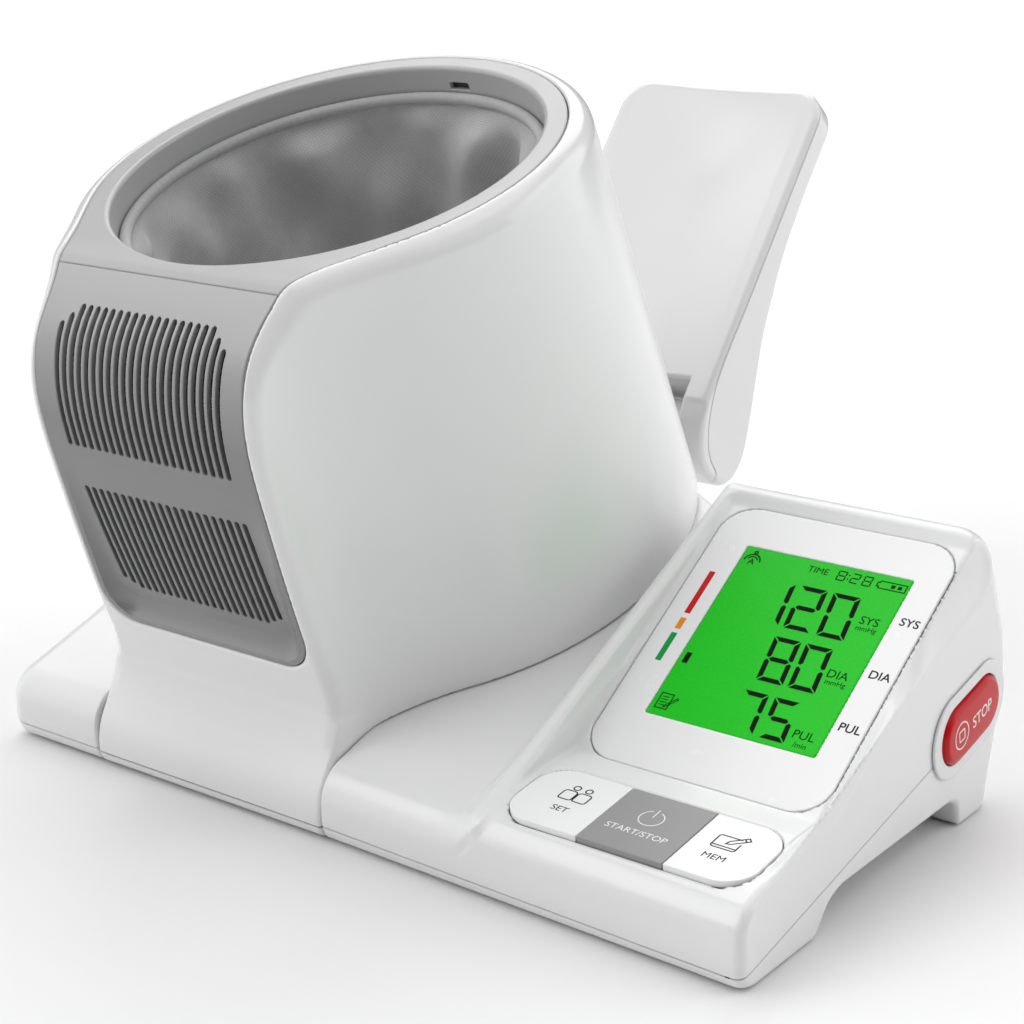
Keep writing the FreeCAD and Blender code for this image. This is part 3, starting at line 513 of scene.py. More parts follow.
M = {}
M["shell_white"] = plastic("shell_white", (0.80, 0.80, 0.806), 0.22, 0.008, 0.02, 1800.0, coat=0.3, r_var=0.03)
M["trim_grey"] = plastic("trim_grey", (0.225, 0.225, 0.23), 0.32, 0.02, 0.06, 3200.0, r_var=0.04, spec=0.9)
# Ring grey: the trim's grey paint made lighter by painted sheen, standing in for the light on the ring's front.
M["ring_grey_lit"] = plastic("ring_grey_lit", (0.44, 0.44, 0.445), 0.33, 0.02, 0.06, 3200.0, r_var=0.04, spec=0.7)
M["grille_grey"] = plastic("grille_grey", (0.225, 0.225, 0.23), 0.32, 0.02, 0.06, 3200.0, r_var=0.04, spec=0.9)


def paint_light_by_height(m, z0, z1, stops):
    """Painted light along the height of its piece: a colour ramp by height that stands in for sheen and shade, over the
    same fine drift of colour.
    """
    nt = m.node_tree
    b = [q for q in nt.nodes if q.type == "BSDF_PRINCIPLED"][0]
    co = nt.nodes.new("ShaderNodeTexCoord").outputs["Object"]
    sep = nt.nodes.new("ShaderNodeSeparateXYZ")
    nt.links.new(co, sep.inputs[0])
    mr = nt.nodes.new("ShaderNodeMapRange")
    mr.inputs["From Min"].default_value = z0
    mr.inputs["From Max"].default_value = z1
    nt.links.new(sep.outputs[2], mr.inputs["Value"])
    ad = nt.nodes.new("ShaderNodeMath")
    ad.operation = "MULTIPLY_ADD"
    ad.inputs[1].default_value = 0.05
    nt.links.new(noise(nt, co, 14.0, 2.0).outputs["Fac"], ad.inputs[0])
    nt.links.new(mr.outputs[0], ad.inputs[2])
    nt.links.new(ramp(nt, ad.outputs[0], stops).outputs[0], b.inputs["Base Color"])


# Painted light on the grille: the lighter top is painted sheen, the darker middle is painted shade, and the lighter
# bottom cove is painted light.
paint_light_by_height(M["grille_grey"], 0.050, 0.190, [(0.0, 0.27), (0.16, 0.18), (0.62, 0.185), (0.98, 0.42)])
M["hinge_grey"] = plastic("hinge_grey", (0.30, 0.30, 0.31), 0.45, 0.03, 0.10)
M["frame_dark"] = plastic("frame_dark", (0.05, 0.05, 0.055), 0.5, 0.06, 0.15)
M["lens"] = plastic("lens", (0.87, 0.87, 0.874), 0.26, 0.005, 0.0, r_var=0.02)
M["lcd"] = screen("lcd", (0.012, 0.48, 0.014), 0.20)
M["key_white"] = plastic("key_white", (0.87, 0.87, 0.874), 0.24, 0.008, 0.02, 1800.0)
M["key_grey"] = plastic("key_grey", (0.285, 0.285, 0.285), 0.38, 0.02, 0.12, 3000.0)
M["button_red"] = plastic("button_red", (0.55, 0.005, 0.009), 0.22, 0.04, 0.02, 1500.0, coat=0.04, spec=0.2)
M["bezel_grey"] = plastic("bezel_grey", (0.78, 0.78, 0.785), 0.22, 0.01, 0.03, coat=0.2)
M["cuff_fabric"] = weave("cuff_fabric", (0.42, 0.42, 0.425), (0.74, 0.74, 0.745))
M["piping_fabric"] = plastic("piping_fabric", (0.46, 0.46, 0.465), 0.8, 0.12, 0.9, 1800.0, spec=0.2)
M["bladder_rubber"] = plastic("bladder_rubber", (0.06, 0.06, 0.065), 0.6, 0.1, 0.3)
M["hose_rubber"] = plastic("hose_rubber", (0.10, 0.10, 0.10), 0.55, 0.1, 0.2)
M["foot_rubber"] = plastic("foot_rubber", (0.09, 0.09, 0.09), 0.75, 0.1, 0.5)
M["circuit_board"] = plastic("circuit_board", (0.015, 0.12, 0.045), 0.4, 0.2, 0.2, 900.0)
M["switch_black"] = plastic("switch_black", (0.03, 0.03, 0.03), 0.45, 0.1, 0.1)
M["inlet_black"] = plastic("inlet_black", (0.025, 0.025, 0.027), 0.4, 0.1, 0.1)
M["spacer_foam"] = plastic("spacer_foam", (0.08, 0.08, 0.08), 0.9, 0.2, 0.9, 1500.0, spec=0.1)
M["cell_wrap"] = plastic("cell_wrap", (0.12, 0.13, 0.15), 0.3, 0.15, 0.02, coat=0.3)
M["contact_plate"] = brushed("contact_plate", (0.72, 0.70, 0.64), 0.3)
M["fastener_steel"] = brushed("fastener_steel", (0.60, 0.60, 0.61), 0.32)
M["pin_steel"] = brushed("pin_steel", (0.62, 0.62, 0.63), 0.28)
M["washer"] = plastic("washer", (0.55, 0.53, 0.48), 0.5, 0.05, 0.1)
M["pump_plastic"] = plastic("pump_plastic", (0.04, 0.04, 0.045), 0.45, 0.1, 0.15)
M["motor_steel"] = brushed("motor_steel", (0.55, 0.55, 0.56), 0.3)
# Near-black backing behind the grille slots: painted shade, so the slots read dark.
M["shade_backing_dark"] = plastic("shade_backing_dark", (0.018, 0.018, 0.019), 0.95, 0.3, 1.0, 2500.0, spec=0.05)
M["ink_black"] = ink("ink_black", (0.012, 0.012, 0.013))
M["ink_grey"] = ink("ink_grey", (0.10, 0.10, 0.105))
M["ink_white"] = ink("ink_white", (0.80, 0.80, 0.80))
M["ink_red"] = ink("ink_red", (0.56, 0.008, 0.012))
M["ink_orange"] = ink("ink_orange", (0.78, 0.28, 0.012))
M["ink_green"] = ink("ink_green", (0.008, 0.30, 0.055))
M["lcd_segment"] = ink("lcd_segment", (0.002, 0.006, 0.002), 0.6, 0.06)
M["lcd_thin"] = ink("lcd_thin", (0.003, 0.026, 0.004), 0.6, 0.06)

# ---------------------------------------------------------------- base
NOSE = Table(spline([(8, -14), (2.0, -3.2), (-1.2, 0.0), (-3.7, 1.9), (-5.1, 4.4), (-5.85, 8), (-6, 12), (-6, 17), (-6, 30), (-6, 60)], 6) + [(-6, 200), (320, 200), (320, -14)],
             (-30, -14), (310, 180))


def _plan():
    el = lambda t: (91.8 + 106 * math.cos(math.radians(t)), 118.7 + 109.93 * math.sin(math.radians(t)), 0)
    pts = [(-9.4, -60, 0), (306, -60, 0), (306, 200, 0)]
    t0 = math.degrees(math.asin((200 - 118.7) / 109.93))
    pts += [(el(t0)[0], 200, 6)]
    pts += [el(t) for t in np.linspace(t0 + 3, 70, 8)][:-1]
    pts += [(el(70)[0], 222, 16), (el(110)[0], 222, 16)]
    pts += [el(t) for t in np.linspace(114, 180, 22)]
    pts += [(-14.2, 88, 26), (-9.4, 56, 26)]
    return rounded(pts, 10)


PLAN = Table(_plan(), (-40, -40), (330, 250))
ARCH = Table(rounded([(30, -9, 0)] + [(q[0], q[1], 0) for q in spline([(36, -2), (40, 3.4), (46, 9.4), (53, 11.5)], 6)] + [(126, 11.5, 6), (131, 9.5, 4), (134.5, -2, 0), (137, -9, 0)], 5),
             (-20, -12), (240, 110))
CL, SL = math.cos(math.radians(33.02)), math.sin(math.radians(33.02))
CD, SD = math.cos(math.radians(7.97)), math.sin(math.radians(7.97))
CS, SS = math.cos(math.radians(12.5)), math.sin(math.radians(12.5))


def lens_frame(x, y, z):
    return x - 256.5, (y - 46) * CL + (z - 34.2) * SL, -(y - 46) * SL + (z - 34.2) * CL


def deck_frame(x, y, z):
    return x - 256.5, (y - 1.7) * CD + (z - 29.54) * SD, -(y - 1.7) * SD + (z - 29.54) * CD


def stop_frame(x, y, z):
    return (y - 134.6) * CS + (z - 38.8) * SS, -(y - 134.6) * SS + (z - 38.8) * CS


def seam(y, z):
    return (z - 6.3 - 0.212 * y) / 1.0222


def base_out(x, y, z):
    hf = smax(np.minimum(29.3 + 0.14 * y, 33.95), 4.3 + 0.65 * y, 1.2)
    tw = np.maximum((z - 24.2 - 0.354 * y) / 1.0608, np.minimum(x - 208.0, z - hf + 10.0))
    tc = rmax((z - 27.0 - 0.5 * y) / 1.118, 205.0 - x, 3.4)
    fl = (hf - z) * (0.990 - 0.152 * step(42, 50, y))
    sc = rmax(rmax(rmax(fl, 211.0 - x, 2.8), x - 303.4, 1.8), y - 141.0, 3.0)
    tc = rmax(tc, -sc, 2.6)
    top = runion(tw, tc, np.clip(6.0 + 0.03 * y, 6.0, 9.0))
    back = 3.6 * (1 - np.clip((x - 150.0) / 150.0, 0, 1))
    d = rmax(top, NOSE(y - back, z), 9.0 - 2.6 * step(190, 212, x))
    d = rmax(d, ((y - 213.0) * 8.6 + (z - 99.6) * 9.0) / 12.45, 6.0)
    b1 = ((y - 153) * 45 + (z - 97) * 21) / 49.66
    b2 = ((y - 174) * 51.4 - (z - 52) * 12) / 52.78
    bk = rmax(b1, b2, 18.0) - 0.7 * np.maximum(198.0 - x, 0)
    sides = rmax(PLAN(x, y), bk, 13.0)
    rl = 3.0 + 6.0 * step(72, 36, y)
    rr = 3.4 + 6.6 * step(126, 150, y)
    d = rmax(d, sides, rl + (rr - rl) * step(190, 212, x))
    zl = hf + step(132, 141, y) * np.maximum(27.0 + 0.5 * y - hf, 0)
    zr = 26.4 + 0.381 * y + 12.0 * step(138, 158, y)
    k = (zr - zl) / 5.2
    bevel = np.minimum((z - zl - k * np.maximum(x - 300.8, 0)) / np.sqrt(1.2 + k * k), x - 300.8)
    d = rmax(d, bevel, 0.9)
    d = rmax(d, 0.6 - z, 1.5)
    d = rmax(d, -ARCH(y, z), 2.0)
    return rmax(d, -np.maximum(np.abs(x - 91.8) - 53.1, y - 44.0), 1.0)


def stop_hole(x, y, z):
    a, b = stop_frame(x, y, z)
    return np.maximum(stadium(a, b, 48.3, 25.3), 296.0 - x)


def base_upper(x, y, z):
    o = base_out(x, y, z)
    d = np.maximum(o, -(o + 2.5))
    d = rmax(d, 0.25 - seam(y, z), 0.2)
    a, b, c = lens_frame(x, y, z)
    d = rmax(d, -np.maximum(rrect(a, b - 55.2, 43.7, 55.4, 12.0), -1.45 - c), 0.35)
    d = np.maximum(d, -np.maximum(np.maximum(np.abs(a - 1.5) - 32.5, np.abs(b - 57.2) - 38.6), np.maximum(-8.0 - c, c - 4)))
    a, b, c = deck_frame(x, y, z)
    d = rmax(d, -np.maximum(rrect(a - 0.5, b - 15.7, 43.75, 15.95, 11.15), -6.5 - c), 0.35)
    return rmax(d, -stop_hole(x, y, z), 0.5)


FEET = [(6, 9), (172, 9), (294, 9), (14, 176), (292, 147), (92, 208)]
SCREWS = [(18, 24), (161, 24), (8, 152), (178, 150), (282, 146)]


def base_lower(x, y, z):
    o = base_out(x, y, z)
    d = np.maximum(o, -(o + 2.5))
    d = rmax(d, seam(y, z) + 0.25, 0.2)
    for q in FEET:
        d = np.maximum(d, -np.maximum(np.sqrt((x - q[0]) ** 2 + (y - q[1]) ** 2) - 5.05, z - 2.05))
    for q in SCREWS:
        d = np.maximum(d, -np.maximum(np.sqrt((x - q[0]) ** 2 + (y - q[1]) ** 2) - 3.0, z - 2.75))
    door = np.maximum(np.maximum(np.abs(x - 91.8) - 51.3, np.abs(y - 162.2) - 24.3), z - 3.4)
    d = rmax(d, -door, 0.4)
    jack = np.maximum(np.sqrt((y - 98.0) ** 2 + (z - 21.0) ** 2) - 4.5, x + 8.0)
    d = rmax(d, -jack, 0.4)
    return rmax(d, -stop_hole(x, y, z), 0.5)


solid("housing_upper", base_upper, (-18, -10, 0), (310, 234, 106), 1.0, M["shell_white"], "base", "shell_white", ("base_upper_shell",), tris=190000,
      edges=[(base_out, lambda x, y, z: 0.25 - seam(y, z))])
solid("housing_lower", base_lower, (-18, -10, -1), (310, 234, 60), 1.0, M["shell_white"], "base", "shell_white", ("base_lower_shell",), tris=150000,
      edges=[(base_out, lambda x, y, z: seam(y, z) + 0.25)])

# ---------------------------------------------------------------- drum
CT, ST = math.cos(math.radians(19.5)), math.sin(math.radians(19.5))
FRONT = [(-40.0, 0.0), (-60.0, 0.0), (-73.0, -0.05), (-80.0, -1.1), (-87.2, -6.0), (-92.9, -10.0), (-99.0, -15.0), (-103.4, -20.4), (-108.1, -30.0), (-110.7, -40.0), (-112.0, -52.0),
         (-112.6, -70.0), (-113.0, -90.0), (-113.0, -110.0), (-112.8, -122.0), (-112.3, -131.0), (-112.8, -139.0), (-114.6, -145.0), (-117.0, -150.0), (-118.6, -154.4), (-124.0, -175.0)]
PROF = Table([(180, 0)] + spline(FRONT, 6) + [(180, -175)], (-135, -172), (130, 14))
FOOT = Table(spline([(8.6, 38.5), (7.6, 34.5), (5.2, 29.0), (2.1, 23.0), (-0.7, 17.5), (-2.0, 12.5), (-2.3, 8.0), (-1.8, 4.2), (-0.2, 1.8), (2.4, 0.9)], 5) + [(40, 0.9), (40, 38.5)],
             (-20, -10), (80, 70), 0.4)


def drum_frame(x, y, z):
    dy, dz = y - 67.0, z - 212.0
    return x - 91.8, dy * CT + dz * ST, -dy * ST + dz * CT


def drum_body(u, v, w):
    t = np.clip(-w / 154.4, -0.1, 1.1)
    c = (np.sqrt(u * u + v * v) - 90.4 - 12.6 * t) * 0.9967
    b = np.maximum(np.abs(u) - 51.0 - 1.5 * t, v + 20.0)
    plan = runion(c, b, 22.0)
    return rmax(plan, PROF(v, w), 5.0 + 3.0 * step(-32, -6, w))


def grey_zone(u, v, w):
    half = 46.4 + 1.2 * np.clip(-w / 126.0, 0, 1)
    front = rmax(np.abs(u) - half, -126.0 - w, 14.0)
    ring = np.sqrt(u * u + v * v) - 83.4
    return np.where(v < 0, smin(ring, front, 26.0), ring)


def rear_zone(u, v, w):
    half = 46.4 + 4.0 * np.clip(-w / 154.4, 0, 1)
    return np.maximum(rmax(np.abs(u) - half, w + 15.0, 12.0), 30.0 - v)


def foot_body(x, y, z):
    return rmax(FOOT(y, z), np.abs(x - 91.8) - 52.7, 1.5)


def drum_white(x, y, z):
    u, v, w = drum_frame(x, y, z)
    body = drum_body(u, v, w)
    foot = foot_body(x, y, z)
    out = smin(rmax(body, -154.4 - w, 1.3), foot, 3.0)
    void = np.minimum(body + 2.6, foot + 2.6)
    d = np.maximum(out, -void)
    d = rmax(d, -grey_zone(u, v, w), 1.1)
    d = rmax(d, -rear_zone(u, v, w), 1.1)
    d = np.maximum(d, -(np.sqrt((y - 4.0) ** 2 + (z - 8.0) ** 2) - 3.15))
    return rmax(d, 5.2 - z, 0.35)


def foot_pan(x, y, z):
    foot = foot_body(x, y, z)
    d = np.maximum(foot, -(foot + 2.6))
    cheek = np.maximum(np.sqrt((y - 4.0) ** 2 + (z - 8.0) ** 2) - 5.2, np.abs(np.abs(x - 91.8) - 46.6) - 2.4)
    d = rmax(d, z - 5.0, 0.35)
    d = np.minimum(d, cheek)
    return np.maximum(d, -(np.sqrt((y - 4.0) ** 2 + (z - 8.0) ** 2) - 3.15))


def ring_f(x, y, z):
    u, v, w = drum_frame(x, y, z)
    body = drum_body(u, v, w)
    rho = np.sqrt(u * u + v * v)
    d = rmax(body + 0.5, 75.0 - rho, 1.6)
    keep = np.minimum(np.maximum(-(body + 3.6), -9.0 - w), np.maximum(rho - 77.4, -14.0 - w))
    d = np.maximum(d, keep)
    d = rmax(d, grey_zone(u, v, w) + 0.3, 0.35)
    d = rmax(d, -81.9 - v, 0.3)
    hole = np.maximum(np.maximum(np.abs(u) - 4.2, 70.0 - v), np.abs(w + 7.9) - 1.2)
    return rmax(d, -hole, 0.3)


def slots(u, w):
    i = np.clip(np.round(u / 3.43 + 10.5), 0, 21)
    du = np.abs(u - (i - 10.5) * 3.43)
    k = np.maximum(np.abs(i - 10.5) - 8.5, 0)
    top, bot = -10.6 - 2.1 * k, -53.6
    hi_ = np.sqrt(du ** 2 + np.maximum(np.abs(w - (top + bot) / 2) - (top - bot) / 2 + 1.0, 0) ** 2) - 1.0
    top, bot = -69.8, -112.0 + 1.6 * k
    lo_ = np.sqrt(du ** 2 + np.maximum(np.abs(w - (top + bot) / 2) - (top - bot) / 2 + 1.0, 0) ** 2) - 1.0
    return np.minimum(hi_, lo_)


def grille_depth(u, v, w):
    zone = grey_zone(u, v, w)
    t = np.clip((-zone - 2.4) / 7.0, 0, 1)
    return zone, 4.2 * np.clip((-w - 58.0) / 64.0, 0, 1) ** 1.2 * (1 - (1 - t) ** 2)


def grille_f(u, v, w):
    zone, dep = grille_depth(u, v, w)
    o = drum_body(u, v, w) + 0.5 + dep
    d = np.maximum(o, -(o + 2.0))
    d = rmax(d, zone + 0.3, 0.4)
    d = rmax(d, v + 82.1, 0.3)
    return rmax(d, -slots(u, w), 0.25)


# Dark sheet just behind the grille: painted shade for the slots, not a real part.
def shade_backing_f(u, v, w):
    zone, dep = grille_depth(u, v, w)
    o = drum_body(u, v, w) + 3.0 + dep
    d = np.maximum(o, -(o + 0.6))
    return rmax(d, np.maximum(zone + 4.0, v + 88.0), 0.3)


def rear_f(x, y, z):
    u, v, w = drum_frame(x, y, z)
    body = drum_body(u, v, w)
    d = np.maximum(body + 0.5, -(body + 2.8))
    d = rmax(d, rear_zone(u, v, w) + 0.3, 0.4)
    return rmax(d, -154.4 - w, 0.5)


def in_drum_frame(P):
    u, v, w = P[:, 0], P[:, 1], P[:, 2]
    return np.stack([u + 91.8, 67.0 + v * CT - w * ST, 212.0 + v * ST + w * CT], 1)


def solid_in_drum(name, f, lo, hi, h, mat, slot, nodes=(), tris=170000):
    ob = solid(name, f, lo, hi, h, mat, "drum", slot, nodes, tris)
    turn_piece(ob.data, in_drum_frame)
    return ob


def turn_piece(me, fn):
    """Moves a mesh that was built in a tilted frame to its place, with its normals."""
    P = np.empty(len(me.vertices) * 3, np.float32)
    me.vertices.foreach_get("co", P)
    P = P.reshape(-1, 3).astype(float) * 1000.0 + ORIGIN
    N = np.empty(len(me.vertices) * 3, np.float32)
    cn = np.empty(len(me.loops) * 3, np.float32)
    me.corner_normals.foreach_get("vector", cn)
    li = np.empty(len(me.loops), np.int32)
    me.loops.foreach_get("vertex_index", li)
    vn = np.zeros((len(me.vertices), 3))
    vn[li] = cn.reshape(-1, 3)
    Q = fn(P)
    O = fn(np.zeros((1, 3)))
    N = fn(vn) - O
    me.vertices.foreach_set("co", to_row(Q).astype(np.float32).ravel())
    me.update()
    set_normals(me, N)


solid("drum_housing", drum_white, (-16, -30, 3), (200, 222, 246), 1.0, M["shell_white"], "drum", "shell_white", ("drum_shell_left", "drum_shell_right", "foot_cover"), tris=190000)
solid("foot_tray", foot_pan, (36, -4, -1), (148, 44, 22), 0.8, M["shell_white"], "drum", "shell_white", ("foot_pan",), tris=40000, edges=[(foot_body, lambda x, y, z: z - 5.0)])
solid("mouth_ring", ring_f, (4, -20, 165), (182, 160, 246), 0.7, M["ring_grey_lit"], "drum", "trim_grey", ("top_ring",), tris=120000)
solid_in_drum("front_grille", grille_f, (-50, -120, -130), (50, -78, 2), 0.42, M["grille_grey"], "trim_grey", ("grille_panel",), tris=190000)
# Painted shade: near-black sheet behind the grille slots.
solid_in_drum("grille_shade_backing", shade_backing_f, (-48, -118, -126), (48, -84, -2), 0.9, M["shade_backing_dark"], "spacer_foam", (), tris=20000)
solid("rear_trim", rear_f, (38, 80, 70), (146, 224, 240), 1.0, M["trim_grey"], "drum", "trim_grey", ("rear_panel",), tris=40000)

# ---------------------------------------------------------------- arm rest
CR, SR = math.cos(math.radians(52.2)), math.sin(math.radians(52.2))


def rest_frame(x, y, z):
    dy, dz = y - 252.0, z - 82.0
    return x - 91.8, dy * CR + dz * SR, -dy * SR + dz * CR


REST = Table(spline([(3, 25.3), (-4.1, 21.9), (-12, 17.3), (-16.9, 10.4), (-18.6, 1), (-17.4, -9), (-12, -15.4), (-3, -17.9), (5.4, -16.5), (13.1, -13.5), (28.2, -6.9), (36.6, -3), (45.2, 0.7), (53.1, 3.2),
                     (62.5, 5.5), (74.2, 8.3), (86.5, 10.1), (99.4, 10.9), (112.5, 11.5), (136, 11.3), (147.5, 11.8), (150.8, 13.6), (152, 17)], 5) + [(152, 40), (3, 40)],
             (-40, -45), (175, 50), 0.4)
RSEAM = Table(spline([(-40, -5), (-15.5, -1.7), (-12.7, 5.9), (-8.3, 12.5), (-1.8, 17.3), (6.5, 21), (15, 23), (60, 23), (157, 23)], 5) + [(175, 23), (175, 80), (-40, 80)], (-40, -45), (175, 50), 0.4)


def rest_dip(x, a):
    return 4.2 * np.maximum(1 - (x / 42.0) ** 2, 0) ** 1.2 * (0.42 + 0.58 * step(150, 108, a))


def rest_out(x, a, o):
    plan = rrect(x, a - 56.0, 49.8, 96.0, 16.0)
    d = rmax(REST(a, o), plan, 3.0)
    d = rmax(d, (o - 25.3 + rest_dip(x, a)) * 0.98, 3.4)
    notch = np.maximum(np.abs(x) - 37.5, a - 14.0)
    return rmax(d, -notch, 1.8)


def rest_zone(x, a, o):
    skin_ = np.maximum(22.2 - rest_dip(x, a) - o, np.maximum(np.abs(x) - 44.0, 8.0 - a))
    return np.minimum(RSEAM(a, o), skin_)


def rest_shape(x, y, z):
    return rest_out(*rest_frame(x, y, z))


def rest_panel(x, y, z):
    u, a, o = rest_frame(x, y, z)
    f = rest_out(u, a, o)
    d = np.maximum(f, -(f + 2.6))
    d = np.maximum(d, -np.maximum(np.sqrt(a * a + o * o) - 4.15, np.abs(u) - 47.2))
    return rmax(d, rest_zone(u, a, o) + 0.25, 0.2)


def rest_back(x, y, z):
    u, a, o = rest_frame(x, y, z)
    f = rest_out(u, a, o)
    d = np.maximum(f, -(f + 2.6))
    d = np.maximum(d, -np.maximum(np.sqrt(a * a + o * o) - 4.15, np.abs(u) - 47.2))
    for sx in (-36, 36):
        for q, top in ((50, 9.5), (116, 14.5)):
            d = rmax(d, -np.maximum(np.sqrt((u - sx) ** 2 + (a - q) ** 2) - 2.6, o - top), 0.4)
    return rmax(d, 0.25 - rest_zone(u, a, o), 0.2)


BRACKET = Table([(221.5, 60), (252, 69.5), (252, 94.5), (221.5, 86)], (205, 40), (290, 110), 0.4)


def bracket_f(x, y, z):
    rho = np.sqrt((y - 252.0) ** 2 + (z - 82.0) ** 2)
    d = runion(BRACKET(y, z), rho - 12.5, 3.0)
    d = rmax(d, np.abs(x - 91.8) - 36.0, 2.2)
    d = np.maximum(d, 222.0 - y)
    return np.maximum(d, -(rho - 4.1))


solid("rest_face", rest_panel, (38, 226, 56), (146, 338, 222), 0.75, M["shell_white"], "arm_rest", "shell_white", ("arm_rest_panel",), tris=120000,
      edges=[(rest_shape, lambda x, y, z: rest_zone(*rest_frame(x, y, z)) + 0.25)])
solid("rest_shell", rest_back, (38, 226, 56), (146, 340, 222), 0.75, M["shell_white"], "arm_rest", "shell_white", ("arm_rest_back",), tris=120000,
      edges=[(rest_shape, lambda x, y, z: 0.25 - rest_zone(*rest_frame(x, y, z)))])
solid("rest_bracket", bracket_f, (52, 219, 52), (132, 268, 98), 0.8, M["shell_white"], "base", "hinge_grey", ("arm_rest_bracket",), tris=40000)

# ---------------------------------------------------------------- display lens, keys and stop button
KX = [-43.0, -13.0, 17.5, 44.0]


def lens_f(x, y, z):
    a, b, c = lens_frame(x, y, z)
    plate = rmax(rrect(a, b - 55.2, 43.5, 55.2, 12.0), np.abs(c + 0.7) - 0.7, 0.2)
    win = rrect(a - 1.5, b - 57.25, 31.0, 36.95, 0.8)
    return rmax(plate, -win, 0.15)


def lcd_f(x, y, z):
    a, b, c = lens_frame(x, y, z)
    glass = rmax(rrect(a - 1.5, b - 57.25, 30.9, 36.85, 0.7), np.abs(c + 1.7) - 1.55, 0.12)
    body = rmax(rrect(a - 1.5, b - 57.25, 34.0, 41.2, 1.5), np.abs(c + 6.1) - 2.9, 0.3)
    return np.minimum(glass, body)


def key_f(i):
    lo, hi = KX[i] + (0.14 if i else 0), KX[i + 1] - (0.14 if i < 2 else 0)

    def f(x, y, z):
        a, b, c = deck_frame(x, y, z)
        plate = rrect(a - 0.5, b - 15.7, 43.5, 15.7, 11.0)
        plate = rmax(plate, np.maximum(lo - a, a - hi), 0.3)
        d = rmax(plate, np.abs(c + 1.15) - 1.25, 0.3)
        stem = np.maximum(np.sqrt((a - (lo + hi) / 2) ** 2 + (b - 15.7) ** 2) - 2.6, np.abs(c + 4.0) - 2.0)
        return np.minimum(d, stem)
    return f


def bezel_f(x, y, z):
    a, b = stop_frame(x, y, z)
    ring = rmax(stadium(a, b, 52.0, 29.0), np.maximum(x - 307.2, 306.0 - x), 0.9)
    neck = np.maximum(stadium(a, b, 48.0, 25.0), np.maximum(x - 306.5, 302.0 - x))
    d = np.minimum(ring, neck)
    return rmax(d, -stadium(a, b, 40.8, 20.8), 0.5)


def stop_f(x, y, z):
    a, b = stop_frame(x, y, z)
    s = stadium(a, b, 40.0, 20.0)
    crown = x - 308.9 + 0.0035 * b * b + 0.0007 * a * a
    d = rmax(s, crown, 2.2)
    return np.maximum(d, 297.0 - x)


solid("lens_panel", lens_f, (211, 44, 32), (302, 142, 98), 0.6, M["lens"], "base", "lens", ("lens_window",), tris=60000)
solid("lcd_screen", lcd_f, (220, 50, 36), (296, 138, 92), 0.7, M["lcd"], "base", "lcd", ("lcd_module",), tris=40000)
for i, (nm, bd, mt) in enumerate((("key_set", "key_left", "key_white"), ("key_start", "key_middle", "key_grey"), ("key_memory", "key_right", "key_white"))):
    solid("cap_" + nm[4:], key_f(i), (256 + KX[i], -1, 22), (257 + KX[i + 1], 36, 36), 0.4, M[mt], bd, mt, (nm,), tris=40000)
solid("stop_ring", bezel_f, (300, 106, 20), (309, 164, 58), 0.5, M["bezel_grey"], "base", "bezel_grey", ("stop_bezel",), tris=40000)
solid("stop_cap", stop_f, (295, 112, 24), (311, 158, 54), 0.5, M["button_red"], "stop", "button_red", ("stop_button",), tris=40000)


# ---------------------------------------------------------------- prints
def place_flat(kind, P):
    """Flat drawing (a, b, height) to its surface in the working frame."""
    a, b, c = P[:, 0], P[:, 1], P[:, 2]
    if kind == "lens":
        return np.stack([a + 256.5, 46 + b * CL - c * SL, 34.2 + b * SL + c * CL], 1)
    if kind == "deck":
        return np.stack([a + 256.5, 1.7 + b * CD - c * SD, 29.54 + b * SD + c * CD], 1)
    top = 308.9 - 0.0035 * b * b - 0.0007 * a * a
    return np.stack([top + c, 134.6 + a * CS - b * SS, 38.8 + a * SS + b * CS], 1)


